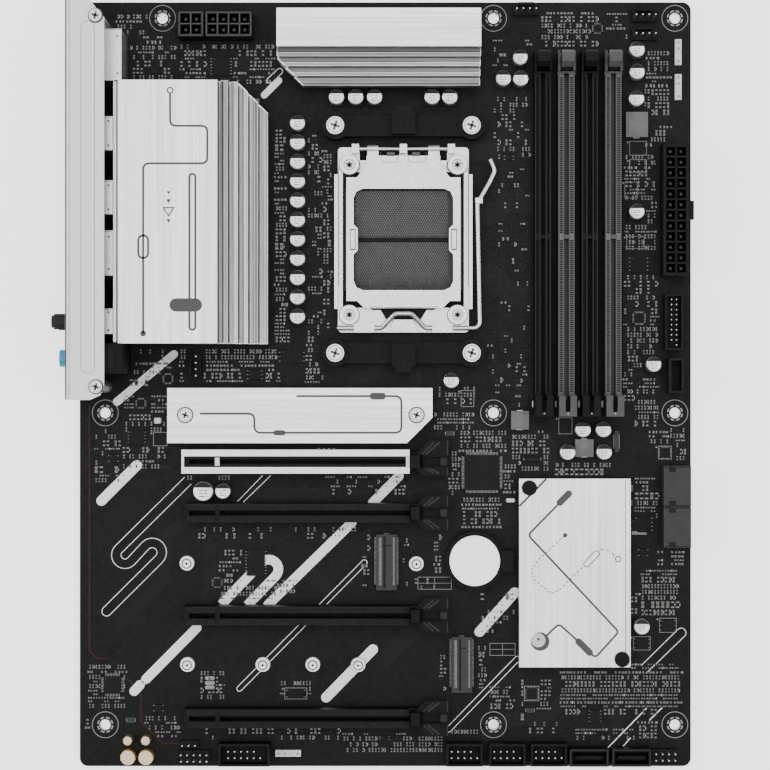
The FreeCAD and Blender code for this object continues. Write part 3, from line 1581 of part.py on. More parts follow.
def make_drive_connectors():
    items = []
    for index, (across, down) in enumerate(DRIVE_CONNECTOR_SPOTS):
        place = spot(across, down)
        sizes = [f"drive_connector_{side}" for side in ("across", "down", "height")]
        scale = "0.9 * " if index == 0 else ""
        sizes[1] = scale + sizes[1]
        blank = block(f"drive_connector_blank_{index}", sizes, place)
        edge = place + Vector(-D["drive_connector_across"] / 2 + 1.9, 0, 2.2)
        slot = block(
            f"drive_connector_slot_{index}",
            ("4.0", f"0.88 * {sizes[1]}", "drive_connector_slot"), edge,
        )
        items.append(cut(f"drive_connector_{index + 1}", blank, [slot]))
    keep(group("drive_connectors", items))


def make_standoffs():
    """Stepped round nuts, each with a threaded bore, turned as one profile."""
    items = []
    for index, (across, down) in enumerate(STANDOFF_SPOTS):
        foot = spot(across, down)
        base = disc(f"standoff_base_{index}", "standoff_radius", "standoff_base", foot)
        neck = disc(f"standoff_neck_{index}", "standoff_neck_radius", "standoff_height", foot)
        bore = disc(f"standoff_bore_{index}", "standoff_bore_radius", "standoff_height", foot)
        items.append(cut(f"standoff_{index}", fuse(f"standoff_solid_{index}", [base, neck]), [bore]))
    return items


# --------------------------------------------------------------------------------------------
# Chipset and battery
# --------------------------------------------------------------------------------------------

CHIP_PIN_SPOTS = [(178.9, 193.4), (215.6, 261.2)]


def make_chipset():
    middle = (
        D["chip_sink_start"] + D["chip_sink_across"] / 2,
        D["chip_sink_upper_down"] + D["chip_sink_down"] / 2,
    )
    chip = ("chipset_side", "chipset_side", "chipset_height")
    package = block("chipset", chip, spot(*middle))
    pad_size = ("chipset_side", "chipset_side", "chip_sink_up - chipset_height")
    thermal_pad = block("chipset_thermal_pad", pad_size, spot(*middle, D["chipset_height"]))
    place = spot(D["chip_sink_start"], D["chip_sink_upper_down"], D["chip_sink_up"])
    body = new_body("chipset_heatsink", place)
    face = sketch_on(body, "XY", "chip_sink_face")
    rectangle(
        face, "chip_sink_across / 2", "-chip_sink_down / 2", "chip_sink_across", "chip_sink_down"
    )
    for across, down in CHIP_PIN_SPOTS:
        x = across - D["chip_sink_start"]
        y = D["chip_sink_upper_down"] - down
        circle(face, x, y, "chip_pin_neck + running_gap")
    pad(body, face, "chip_sink_top - chip_sink_up")
    keep(body)
    pins = []
    for index, (across, down) in enumerate(CHIP_PIN_SPOTS):
        top = spot(across, down, D["chip_sink_top"])
        head = disc(f"chip_pin_head_{index}", "chip_pin_radius", "chip_pin_head", top)
        neck = disc(f"chip_pin_neck_{index}", "chip_pin_neck", "chip_sink_top", top, -Z_AXIS)
        pins.append(fuse(f"chip_pin_{index}", [head, neck]))
    keep(group("chipset_push_pins", pins))
    return package, thermal_pad


def make_battery():
    foot = spot(D["battery_across"], D["battery_down"])
    ring = disc("holder_ring", "holder_radius", "holder_height", foot)
    clip = block(
        "holder_clip", ("holder_clip_across", "holder_clip_down", "holder_clip_height"),
        foot + Vector(D["holder_radius"] + D["holder_clip_across"] / 2 - 1.2, 0, 0),
    )
    well = disc(
        "holder_well", "battery_radius + battery_clearance", "holder_clip_height",
        foot + Vector(0, 0, D["battery_up"]),
    )
    keep(cut("battery_holder", fuse("holder_solid", [ring, clip]), [well]))
    seat = foot + Vector(0, 0, D["battery_up"])
    lower = disc("battery_case", "battery_radius", "0.75 * battery_height", seat)
    lid = disc("battery_lid", "battery_radius - 0.6", "battery_height", seat)
    keep(fuse("coin_battery", [lower, lid]))


# --------------------------------------------------------------------------------------------
# Power connectors
# --------------------------------------------------------------------------------------------

def power_cells(name, middle, columns, rows):
    """Middles of the cells of a power connector, in a columns by rows grid."""
    pitch = D["power_pitch"]
    return [
        (f"{name}_{column}_{row}", middle + Vector(
            (column - (columns - 1) / 2) * pitch, (row - (rows - 1) / 2) * pitch, 0
        ))
        for column in range(columns) for row in range(rows)
    ]


def make_power_connector(label, middle, columns, rows, ramp):
    """Housing with a grid of cells; ramp is the direction that its latch ramp faces."""
    sizes = (
        f"{columns} * power_pitch + 2 * power_wall",
        f"{rows} * power_pitch + 2 * power_wall",
        "power_height",
    )
    blank = block(f"{label}_blank", sizes, middle)
    reach = D["power_pitch"] + D["power_wall"] + D["power_ramp_reach"] / 2
    across = "power_ramp_width" if ramp.y else "power_ramp_reach"
    deep = "power_ramp_reach" if ramp.y else "power_ramp_width"
    foot = middle + ramp * reach + Vector(0, 0, D["power_height"] * 0.45)
    wedge = block(f"{label}_ramp", (across, deep, "0.4 * power_height"), foot)
    lift = Vector(0, 0, D["power_height"] - D["power_cell_depth"])
    cells = [
        block(name, ("power_cell", "power_cell", "power_cell_depth"), place + lift)
        for name, place in power_cells(label, middle, columns, rows)
    ]
    housing = cut(label, fuse(f"{label}_solid", [blank, wedge]), cells)
    sizes = ("power_contact_side", "power_contact_side", "power_contact_height")
    contacts = [
        block(f"{name}_contact", sizes, place + lift)
        for name, place in power_cells(label, middle, columns, rows)
    ]
    return housing, contacts


def make_power_connectors():
    cpu_down = D["power_cpu_down"]
    eight = spot(D["power_cpu_eight_across"], cpu_down)
    four = spot(D["power_cpu_four_across"], cpu_down)
    main = spot(D["power_main_across"], D["power_main_down"])
    eight_housing, eight_contacts = make_power_connector("power_eight_pin", eight, 4, 2, Y_AXIS)
    four_housing, four_contacts = make_power_connector("power_four_pin", four, 2, 2, Y_AXIS)
    main_housing, main_contacts = make_power_connector("power_main", main, 2, 12, X_AXIS)
    keep(group("power_cpu_pair", [eight_housing, four_housing]))
    keep(main_housing)
    keep(group("power_contacts", eight_contacts + four_contacts + main_contacts))


# --------------------------------------------------------------------------------------------
# Storage connectors and headers
# --------------------------------------------------------------------------------------------

def make_side_sata():
    items = []
    for index, name in enumerate(("sata_side_first_down", "sata_side_second_down")):
        middle = spot(D["sata_side_middle_across"], D[name])
        sizes = ("sata_side_across", "sata_side_down", "sata_side_height")
        blank = block(f"sata_side_blank_{index}", sizes, middle)
        mouth = middle + Vector(D["sata_side_across"] - D["sata_cavity_depth"], 0, D["sata_wall"])
        hollow = block(
            f"sata_side_hollow_{index}",
            ("sata_side_across", "sata_side_down - 2 * sata_wall",
             "sata_side_height - 2 * sata_wall"),
            mouth,
        )
        shell = cut(f"sata_side_shell_{index}", blank, [hollow])
        inner = middle + Vector(0, 0, D["sata_side_height"] / 2)
        blade = block(
            f"sata_side_blade_{index}", ("sata_side_across", "0.7 * sata_side_down", "sata_tongue"),
            inner,
        )
        items.append(fuse(f"sata_side_{index + 1}", [shell, blade]))
    keep(group("sata_side_pair", items))


def make_upright_sata():
    items = []
    names = ("sata_upright_first_across", "sata_upright_second_across")
    for index, name in enumerate(names):
        middle = spot(D[name], D["sata_upright_middle_down"])
        sizes = ("sata_upright_across", "sata_upright_down", "sata_upright_height")
        blank = block(f"sata_upright_blank_{index}", sizes, middle)
        lift = Vector(0, 0, D["sata_upright_height"] - D["sata_cavity_depth"])
        hollow = block(
            f"sata_upright_hollow_{index}",
            ("sata_upright_across - 2 * sata_wall", "sata_upright_down - 2 * sata_wall",
             "sata_cavity_depth"),
            middle + lift,
        )
        shell = cut(f"sata_upright_shell_{index}", blank, [hollow])
        blade = block(
            f"sata_upright_blade_{index}",
            ("0.7 * sata_upright_across", "sata_tongue", "sata_upright_height - 0.8"), middle,
        )
        items.append(fuse(f"sata_upright_{index + 1}", [shell, blade]))
    keep(group("sata_upright_pair", items))


def shrouded_header(name, middle, sizes, depth="0.75"):
    """Box header open at the top, with a floor."""
    blank = block(f"{name}_blank", sizes, middle)
    floor = Vector(0, 0, D[sizes[2]] * (1 - float(depth)))
    hollow = block(
        f"{name}_hollow",
        (f"{sizes[0]} - 2 * header_wall", f"{sizes[1]} - 2 * header_wall", f"{depth} * {sizes[2]}"),
        middle + floor,
    )
    return cut(name, blank, [hollow])


SMALL_HEADER_ACROSS = (153.3, 170.2, 186.7)


def make_headers():
    middle = spot(D["front_usb_middle_across"], D["front_usb_middle_down"])
    sizes = ("front_usb_across", "front_usb_down", "front_usb_height")
    items = [shrouded_header("front_usb_header", middle, sizes)]
    middle = spot(D["front_type_c_middle_across"], D["front_type_c_middle_down"])
    sizes = ("front_type_c_across", "front_type_c_down", "front_type_c_height")
    keep(shrouded_header("front_type_c_header", middle, sizes))
    row = D["header_middle_down"]
    sizes = ("header_across", "header_down", "header_height")
    for index, across in enumerate(SMALL_HEADER_ACROSS):
        items.append(shrouded_header(f"small_header_{index}", spot(across, row), sizes))
    sizes = ("serial_across", "header_down", "header_height")
    items.append(shrouded_header("serial_header", spot(D["serial_middle_across"], row), sizes))
    keep(group("case_headers", items))


# Open pin strips, as (across, down, columns, rows) on a 2.54 mm pitch.
PIN_STRIPS = [(46.0, 300.6, 5, 2), (233.0, 300.2, 4, 2), (44.0, 295.6, 3, 1)]
PIN_PITCH = 2.54

# Fan headers, as (across, down, quarter turn).
FAN_SPOTS = [(177.8, 3.2, 0), (225.0, 5.6, 0), (225.0, 13.0, 0), (46.4, 145.2, 1)]

# Light-strip headers, as (across, down, quarter turn).
LIGHT_SPOTS = [(238.6, 20.1, 1), (238.6, 34.0, 1), (83.2, 299.4, 0)]


def make_open_headers():
    bases = []
    for index, (across, down, columns, rows) in enumerate(PIN_STRIPS):
        sizes = (columns * PIN_PITCH, rows * PIN_PITCH, "header_base_height")
        bases.append(block(f"pin_strip_{index}", sizes, spot(across, down)))
    lights = []
    for index, (across, down, turned) in enumerate(LIGHT_SPOTS):
        sizes = [4 * PIN_PITCH, PIN_PITCH, "header_base_height"]
        if turned:
            sizes[0], sizes[1] = sizes[1], sizes[0]
        lights.append(block(f"light_strip_{index}", sizes, spot(across, down)))
    keep(group("light_header_bases", lights))
    for index, (across, down, turned) in enumerate(FAN_SPOTS):
        middle = spot(across, down)
        base = ["fan_across", "fan_down", "header_base_height"]
        wall = ["0.6 * fan_across", "fan_tab_thickness", "fan_height"]
        offset = (D["fan_down"] - D["fan_tab_thickness"]) / 2
        shift = Vector(0, offset, 0)
        if turned:
            base[0], base[1] = base[1], base[0]
            wall[0], wall[1] = wall[1], wall[0]
            shift = Vector(-offset, 0, 0)
        foot = block(f"fan_base_{index}", base, middle)
        tab = block(f"fan_tab_{index}", wall, middle + shift)
        bases.append(fuse(f"fan_header_{index}", [foot, tab]))
    keep(group("open_header_bases", bases))


# --------------------------------------------------------------------------------------------
# Capacitors, chokes and chips
# --------------------------------------------------------------------------------------------

LARGE_CAPACITOR_SPOT = (49.8, 194.9)
GOLD_SMALL_SPOTS = [(19.7, 293.8), (26.8, 293.8)]
GOLD_LARGE_SPOTS = [(19.8, 300.4), (26.9, 300.4)]
CONTROLLER_SPOT = (160.5, 187.6)


def stage_capacitor_spots():
    across = D["stage_capacitor_across"]
    start = D["stage_capacitor_down"]
    return [(across, start + index * D["stage_pitch"]) for index in range(11)]


def make_capacitors():
    cans = [
        disc(f"capacitor_{index}", "capacitor_radius", "capacitor_height", spot(*place))
        for index, place in enumerate(stage_capacitor_spots() + CAPACITOR_SPOTS)
    ]
    large = spot(*LARGE_CAPACITOR_SPOT)
    cans.append(disc("large_capacitor", "large_capacitor_radius", "large_capacitor_height", large))
    keep(group("capacitors", cans))
    golds = []
    for radius, places in (
        ("gold_small_radius", GOLD_SMALL_SPOTS), ("gold_large_radius", GOLD_LARGE_SPOTS)
    ):
        for index, place in enumerate(places):
            golds.append(disc(f"{radius}_{index}", radius, "gold_height", spot(*place)))
    keep(group("audio_capacitors", golds))


def make_chokes():
    return [
        block(f"choke_{index}", (wide, tall, "choke_body_height"), spot(across, down))
        for index, (across, down, wide, tall) in enumerate(CHOKE_SPOTS)
    ]


def make_chips():
    sizes = ("controller_side", "controller_side", "controller_height")
    items = [block("controller_chip", sizes, spot(*CONTROLLER_SPOT))]
    for index, (across, down, wide, tall) in enumerate(SMALL_CHIP_SPOTS):
        items.append(block(f"chip_{index}", (wide, tall, "small_chip_height"), spot(across, down)))
    return items


# --------------------------------------------------------------------------------------------
# Build, check and export
# --------------------------------------------------------------------------------------------

def make_slots():
    """Slots and their latches; slots of one finish are joined into one sub-part."""
    memory = [make_memory_slot(index) for index in range(4)]
    keep(group("memory_slots_black", memory[0::2]))
    keep(group("memory_slots_grey", memory[1::2]))
    keep(group("expansion_slots", [make_expansion_slot(index) for index in range(4)]))
    for index in range(4):
        make_memory_latch(index)
        make_expansion_latch(index)
    make_slot_cladding()


def make_socket():
    make_socket_housing()
    make_contact_fields()
    make_socket_frame()
    make_frame_screws()
    make_load_plate()
    make_hinge_pin()
    make_load_lever()
    make_backplate()
    upper = make_cooler_bracket("cooler_bracket_upper", 1)
    lower = make_cooler_bracket("cooler_bracket_lower", -1)
    keep(group("cooler_brackets", [upper, lower]))
    make_cooler_screws()


def make_rear():
    make_shield()
    make_shield_flange()
    make_rear_connectors()
    make_port_tongues()
    make_update_button()
    make_antenna_module()
    make_audio_jacks()


def make_everything():
    make_board()
    make_rear()
    shield_posts, shield_screws = make_shield_posts()
    stage_chips, stage_chokes, stage_pads = make_power_stages()
    make_left_sink()
    make_top_sink()
    sink_screws = make_sink_screws()
    make_socket()
    make_slots()
    drive_posts, drive_screws, drive_pad = make_drive_sink()
    make_drive_connectors()
    chipset, chipset_pad = make_chipset()
    make_battery()
    make_power_connectors()
    make_side_sata()
    make_upright_sata()
    make_headers()
    make_open_headers()
    make_capacitors()
    keep(group("chokes", stage_chokes + make_chokes()))
    keep(group("board_chips", [chipset] + stage_chips + make_chips()))
    keep(group("thermal_pads", stage_pads + [drive_pad, chipset_pad]))
    keep(group("threaded_posts", shield_posts + drive_posts + make_standoffs()))
    keep(group("small_screws", shield_screws + drive_screws + sink_screws))


def check_document():
    for item in doc.Objects:
        if "Invalid" in item.State or "Error" in item.State:
            raise RuntimeError(f"{item.Label} failed: {item.State}")
    for item in PARTS:
        if item.Shape.isNull() or not item.Shape.isValid():
            raise RuntimeError(f"{item.Label} has no valid shape")


def export_parts():
    os.makedirs("parts", exist_ok=True)
    for item in PARTS:
        item.Shape.exportStep(f"parts/{item.Label}.step")


make_everything()
doc.recompute()
check_document()
export_parts()
print(len(PARTS), "sub-parts")
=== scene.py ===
import math
import random

import bmesh
import bpy
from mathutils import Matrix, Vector


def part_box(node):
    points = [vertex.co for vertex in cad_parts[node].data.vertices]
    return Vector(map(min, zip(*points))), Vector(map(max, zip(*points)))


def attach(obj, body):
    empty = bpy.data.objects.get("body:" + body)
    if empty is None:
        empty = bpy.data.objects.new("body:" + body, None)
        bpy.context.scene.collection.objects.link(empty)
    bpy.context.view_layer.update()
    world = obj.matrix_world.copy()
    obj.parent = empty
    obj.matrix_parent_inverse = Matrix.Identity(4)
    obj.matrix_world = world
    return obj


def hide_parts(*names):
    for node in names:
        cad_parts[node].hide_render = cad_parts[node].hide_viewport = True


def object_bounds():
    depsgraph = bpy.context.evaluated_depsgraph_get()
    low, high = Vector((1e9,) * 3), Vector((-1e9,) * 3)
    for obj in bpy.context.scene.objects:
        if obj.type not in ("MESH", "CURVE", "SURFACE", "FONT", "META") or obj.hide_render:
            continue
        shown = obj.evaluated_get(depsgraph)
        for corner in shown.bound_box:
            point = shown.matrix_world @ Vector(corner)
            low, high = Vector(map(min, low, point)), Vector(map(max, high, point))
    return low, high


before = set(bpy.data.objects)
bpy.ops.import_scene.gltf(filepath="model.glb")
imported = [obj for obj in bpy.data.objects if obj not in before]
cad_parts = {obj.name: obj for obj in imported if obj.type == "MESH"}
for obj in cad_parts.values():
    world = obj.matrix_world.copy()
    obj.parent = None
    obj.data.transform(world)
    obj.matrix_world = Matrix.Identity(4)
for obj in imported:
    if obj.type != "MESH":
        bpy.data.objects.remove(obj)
cad_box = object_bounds()

# ----------------------------------------
# Places. A place on the board is (across, down, up) in millimetres: across from its rear edge,
# down from its upper edge and up from its top face.
# ----------------------------------------

MM = 0.001
board_low, board_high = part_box("circuit_board")
BOARD_ACROSS = (board_high.x - board_low.x) / MM
BOARD_DOWN = (board_high.y - board_low.y) / MM
BOARD_THICKNESS = (board_high.z - board_low.z) / MM


def at(across, down, up=0.0):
    """A place on the board as a point of the frame, in metres."""
    return Vector((board_low.x + across * MM, board_high.y - down * MM, board_high.z + up * MM))


def place_of(point):
    """A point of the frame as a place on the board; the reverse of at()."""
    x, y, z = point
    return (x - board_low.x) / MM, (board_high.y - y) / MM, (z - board_high.z) / MM


def span(node):
    """A CAD node's box as ((across, down, up) lowest, (across, down, up) highest)."""
    low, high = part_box(node)
    return place_of((low.x, high.y, low.z)), place_of((high.x, low.y, high.z))


def islands(node):
    """The spans of a CAD node's separate solids."""
    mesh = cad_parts[node].data
    work = bmesh.new()
    work.from_mesh(mesh)
    bmesh.ops.remove_doubles(work, verts=work.verts, dist=1e-6)
    todo = set(work.verts)
    found = []
    while todo:
        front = [todo.pop()]
        members = list(front)
        while front:
            corner = front.pop()
            for edge in corner.link_edges:
                other = edge.other_vert(corner)
                if other in todo:
                    todo.remove(other)
                    front.append(other)
                    members.append(other)
        places = list(zip(*(place_of(corner.co) for corner in members)))
        found.append((tuple(map(min, places)), tuple(map(max, places))))
    work.free()
    return sorted(found)


def middle_of(low, high):
    """The middle of a span, as (across, down)."""
    return (low[0] + high[0]) / 2, (low[1] + high[1]) / 2


def size_of(low, high):
    """The size of a span across and down."""
    return high[0] - low[0], high[1] - low[1]


def placed(node):
    """Each of a node's solids as its span and the middle of it, across and down."""
    return [(low, high, *middle_of(low, high)) for low, high in islands(node)]


# ----------------------------------------
# Outlines and meshes. Turns are in degrees, and an outline is a list of (across, down) points.
# ----------------------------------------

PILL_SIDES = 8
BEND_STEPS = 5
SHARP_ANGLE = math.radians(35)
BEVEL_ANGLE = math.radians(40)


def ring_points(across, down, radius, sides=24, start=0.0, sweep=360.0):
    """Points of an arc round a middle; a full circle by default."""
    count = sides if sweep >= 360 else sides + 1
    turns = [math.radians(start + sweep * index / sides) for index in range(count)]
    return [(across + radius * math.cos(t), down + radius * math.sin(t)) for t in turns]


def pill_points(start, end, radius):
    """Outline of a line with round ends."""
    a, b = Vector(start), Vector(end)
    heading = math.degrees(math.atan2(b.y - a.y, b.x - a.x))
    return (
        ring_points(*b, radius, PILL_SIDES, heading - 90, 180)
        + ring_points(*a, radius, PILL_SIDES, heading + 90, 180)
    )


def rectangle(across, down, wide, deep):
    """Corners of a rectangle on its middle."""
    a, d = wide / 2, deep / 2
    return [(across + x, down + y) for x, y in ((-a, -d), (a, -d), (a, d), (-a, d))]


def rim_of(low, high, inset):
    """Corners of a span's plan, inset from its edges."""
    wide, deep = size_of(low, high)
    return rectangle(*middle_of(low, high), wide - 2 * inset, deep - 2 * inset)


def rounded(corners, radius):
    """Open route with its inner corners rounded."""
    route = [Vector(corner) for corner in corners]
    made = [tuple(route[0])]
    for before, corner, after in zip(route, route[1:], route[2:]):
        back = before - corner
        ahead = after - corner
        reach = min(radius, back.length * 0.45, ahead.length * 0.45)
        start = corner + back.normalized() * reach
        end = corner + ahead.normalized() * reach
        for step in range(BEND_STEPS + 1):
            t = step / BEND_STEPS
            point = start * (1 - t) ** 2 + corner * 2 * t * (1 - t) + end * t ** 2
            made.append(tuple(point))
    made.append(tuple(route[-1]))
    return made


def walls(levels, sides, closed=False):
    """Faces between loops of points one after another; closed joins the last to the first."""
    faces = []
    for level in range(levels if closed else levels - 1):
        near, far = level * sides, (level + 1) % levels * sides
        for index in range(sides):
            after = (index + 1) % sides
            faces.append((near + index, near + after, far + after, far + index))
    return faces


def capped(levels, sides):
    """The walls of a closed form, with its foot and its top."""
    last = (levels - 1) * sides
    return [tuple(range(sides)), tuple(range(last, last + sides))] + walls(levels, sides)


class Pile:
    """Many small closed forms gathered into one mesh, each with one of the pile's materials."""

    def __init__(self, *materials):
        self.materials = materials
        self.points = []
        self.faces = []
        self.kinds = []

    def add(self, points, faces, kind=0):
        first = len(self.points)
        self.points += [at(*point) for point in points]
        self.faces += [tuple(first + index for index in face) for face in faces]
        self.kinds += [kind] * len(faces)

    def prism(self, outline, low, high, kind=0, inset=0.0):
        """Upright form on an outline of (across, down) corners; inset slopes its upper edge."""
        count = len(outline)
        middle_a = sum(a for a, _ in outline) / count
        middle_d = sum(d for _, d in outline) / count
        upper = []
        for a, d in outline:
            x, y = a - middle_a, d - middle_d
            share = 1 - min(inset / (math.hypot(x, y) or 1.0), 0.9)
            upper.append((middle_a + x * share, middle_d + y * share, high))
        self.add([(a, d, low) for a, d in outline] + upper, capped(2, count), kind)

    def box(self, across, down, up, wide, deep, tall, kind=0, inset=0.0, turn=0.0):
        """Box on the middle of its foot, turned about its own axis by degrees."""
        c, s = math.cos(math.radians(turn)), math.sin(math.radians(turn))
        corners = rectangle(0, 0, wide, deep)
        outline = [(across + x * c - y * s, down + x * s + y * c) for x, y in corners]
        self.prism(outline, up, up + tall, kind, inset)

    def disc(self, across, down, up, radius, tall, kind=0, sides=16):
        self.prism(ring_points(across, down, radius, sides), up, up + tall, kind)

    def lathe(self, across, down, profile, kind, sides=24):
        """Turned form: profile is (radius, up) from the foot of its axis to the top of it."""
        points = []
        for radius, up in profile:
            points += [(a, d, up) for a, d in ring_points(across, down, radius, sides)]
        self.add(points, capped(len(profile), sides), kind)

    def ring(self, across, down, up, outer, inner, tall, kind=0, sides=28):
        """Flat ring with a square section."""
        points = []
        for radius, level in ((outer, up), (outer, up + tall), (inner, up + tall), (inner, up)):
            points += [(a, d, level) for a, d in ring_points(across, down, radius, sides)]
        self.add(points, walls(4, sides, closed=True), kind)

    def tube(self, down, up, start, end, outer, inner, kind=0, sides=28):
        """Open sleeve along the across direction."""
        points = []
        for radius, across in ((outer, start), (outer, end), (inner, end), (inner, start)):
            points += [(across, down + x, up + y) for x, y in ring_points(0, 0, radius, sides)]
        self.add(points, walls(4, sides, closed=True), kind)

    def stroke(self, route, width, up, tall, kind=0, closed=False):
        """Flat line of one width along (across, down) points, mitred at its corners."""
        route = [Vector(point) for point in route]
        count = len(route)
        sides = []
        for index, point in enumerate(route):
            before = route[index - 1] if closed or index else point
            after = route[(index + 1) % count] if closed or index < count - 1 else point
            into = (point - before).normalized() if point != before else None
            out = (after - point).normalized() if point != after else None
            into = into or out
            out = out or into
            along = (into + out).normalized() if (into + out).length > 1e-6 else into
            normal = Vector((-along.y, along.x))
            stretch = 1 / max(0.35, abs(normal.dot(Vector((-into.y, into.x)))))
            half = normal * width / 2 * stretch
            sides.append((point - half, point + half))
        levels = (up, up + tall)
        points = [(*side, level) for pair in sides for level in levels for side in pair]
        faces = []
        for index in range(count if closed else count - 1):
            a, b = 4 * index, 4 * ((index + 1) % count)
            faces += [(a, a + 1, b + 1, b), (a + 2, b + 2, b + 3, a + 3)]
            faces += [(a, b, b + 2, a + 2), (a + 1, a + 3, b + 3, b + 1)]
        if not closed:
            last = 4 * (count - 1)
            faces += [(0, 2, 3, 1), (last, last + 1, last + 3, last + 2)]
        self.add(points, faces, kind)

    def make(self, name, body="board", replaces=(), bevel=0.0):
        """The pile as one smooth-shaded mesh that rides on a body."""
        mesh = bpy.data.meshes.new(name)
        mesh.from_pydata(self.points, [], self.faces)
        for material in self.materials:
            mesh.materials.append(material)
        mesh.polygons.foreach_set("material_index", self.kinds)
        work = bmesh.new()
        work.from_mesh(mesh)
        bmesh.ops.recalc_face_normals(work, faces=work.faces)
        work.to_mesh(mesh)
        work.free()
        mesh.polygons.foreach_set("use_smooth", [True] * len(mesh.polygons))
        mesh.set_sharp_from_angle(angle=SHARP_ANGLE)
        piece = bpy.data.objects.new(name, mesh)
        bpy.context.scene.collection.objects.link(piece)
        if bevel:
            soften(piece, bevel)
        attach(piece, body)
        if replaces:
            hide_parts(*replaces)


def soften(piece, width):
    """Worn edges: a small bevel that catches the light."""
    edge = piece.modifiers.new("edges", "BEVEL")
    edge.width = width * MM
    edge.segments = 2
    edge.limit_method = "ANGLE"
    edge.angle_limit = BEVEL_ANGLE
    edge.harden_normals = True




# ----------------------------------------
# Materials
# ----------------------------------------

class Recipe:
    """A material's nodes, worked out in millimetres from the object's own coordinates."""

    def __init__(self, name, metallic=0.0, roughness=0.5, **constants):
        self.material = bpy.data.materials.new(name)
        self.material.use_nodes = True
        self.tree = self.material.node_tree
        self.shader = self.tree.nodes["Principled BSDF"]
        self.shader.inputs["Metallic"].default_value = metallic
        self.shader.inputs["Roughness"].default_value = roughness
        for socket, value in constants.items():
            self.shader.inputs[socket.replace("_", " ")].default_value = value
        self.place = self.node("ShaderNodeTexCoord").outputs["Object"]
        self.relief = None

    def node(self, kind, links=(), **values):
        made = self.tree.nodes.new(kind)
        for name, value in values.items():
            if hasattr(made, name):
                setattr(made, name, value)
            else:
                made.inputs[name.replace("_", " ")].default_value = value
        for socket, source in dict(links).items():
            self.tree.links.new(source, made.inputs[socket])
        return made

    def scaled(self, stretch):
        size = [factor / MM for factor in stretch]
        made = self.node("ShaderNodeMapping", {"Vector": self.place}, Scale=size)
        return made.outputs["Vector"]

    def noise(self, scale, stretch=(1, 1, 1), detail=2.0):
        """Noise with about `scale` features to the millimetre."""
        vector = {"Vector": self.scaled(stretch)}
        return self.node("ShaderNodeTexNoise", vector, Scale=scale, Detail=detail).outputs["Fac"]

    def cells(self, scale, stretch=(1, 1, 1)):
        vector = {"Vector": self.scaled(stretch)}
        return self.node("ShaderNodeTexVoronoi", vector, Scale=scale).outputs["Distance"]

    def product(self, first, second):
        made = self.node("ShaderNodeMath", {0: first, 1: second}, operation="MULTIPLY")
        return made.outputs["Value"]

    def ramp(self, factor, low, high, start, end):
        """Number between low and high where the factor goes from start to end."""
        made = self.node(
            "ShaderNodeMapRange", {"Value": factor},
            From_Min=start, From_Max=end, To_Min=low, To_Max=high,
        )
        return made.outputs["Result"]

    def colour(self, factor, low, high, start=0.3, end=0.7):
        """Base colour between two tones; a single number is a neutral grey."""
        made = self.node("ShaderNodeValToRGB", {"Fac": factor})
        stops = made.color_ramp.elements
        stops[0].position, stops[1].position = start, end
        for stop, tone in zip(stops, (low, high)):
            stop.color = (*(grey(tone) if isinstance(tone, float) else tone), 1.0)
        self.tree.links.new(made.outputs["Color"], self.shader.inputs["Base Color"])
        return self

    def gloss(self, factor, low, high, start=0.3, end=0.7):
        source = self.ramp(factor, low, high, start, end)
        self.tree.links.new(source, self.shader.inputs["Roughness"])
        return self

    def bump(self, factor, depth):
        """Relief of a depth in millimetres, on top of any relief before it."""
        links = {"Height": factor}
        if self.relief:
            links["Normal"] = self.relief
        self.relief = self.node("ShaderNodeBump", links, Distance=depth * MM).outputs["Normal"]
        self.tree.links.new(self.relief, self.shader.inputs["Normal"])
        return self


def grey(value, tint=0.0):
    """Neutral colour, a little warmer with a positive tint and cooler with a negative one."""
    return (value * (1 + tint), value, value * (1 - tint))


def moulded(name, dark, light, roughness=(0.42, 0.6), grain=6.0, depth=0.01, **constants):
    """Plastic with a fine spark-eroded grain and slight flow marks."""
    recipe = Recipe(name, **constants)
    recipe.colour(recipe.noise(0.35, detail=4.0), dark, light)
    recipe.gloss(recipe.noise(1.3, detail=3.0), *roughness)
    return recipe.bump(recipe.noise(grain, detail=4.0), depth).material


def metal(name, dark, light, roughness, stretch=(1, 1, 1), scale=2.0, depth=0.006, **constants):
    """Bare or plated metal with a directional or even grain."""
    recipe = Recipe(name, metallic=1.0, **constants)
    grain = recipe.noise(scale, stretch, detail=5.0)
    recipe.colour(grain, dark, light)
    recipe.gloss(recipe.noise(scale * 0.6, stretch, detail=4.0), *roughness)
    return recipe.bump(grain, depth).material


def solder_mask():
    """Black lacquer over copper and glass cloth: faint weave, faint islands of copper below."""
    recipe = Recipe("solder_mask", Specular_IOR_Level=0.15)
    islands_below = recipe.cells(0.22)
    recipe.colour(islands_below, grey(0.0034, -0.05), grey(0.0052, -0.05), 0.35, 0.42)
    recipe.gloss(recipe.noise(0.5, detail=4.0), 0.44, 0.56)
    recipe.bump(recipe.noise(2.2, (1.0, 0.35, 1.0), 3.0), 0.004)
    return recipe.bump(recipe.noise(2.2, (0.35, 1.0, 1.0), 3.0), 0.004).material


def brushed(name, along, tone=(0.6, 0.92)):
    """Brushed anodised aluminium; along is the axis that the brush ran, x or y."""
    recipe = Recipe(name, metallic=1.0, Anisotropic=0.45)
    fine = (7.0, 0.06, 1.0) if along == "y" else (0.06, 7.0, 1.0)
    broad = (1.1, 0.012, 1.0) if along == "y" else (0.012, 1.1, 1.0)
    hair = recipe.noise(1.0, fine, 6.0)
    strands = recipe.product(hair, recipe.noise(1.0, broad, 4.0))
    recipe.colour(strands, tone[0], tone[1], 0.14, 0.36)
    recipe.gloss(hair, 0.26, 0.42)
    recipe.bump(hair, 0.012)
    return recipe.bump(recipe.noise(5.0, detail=3.0), 0.002).material


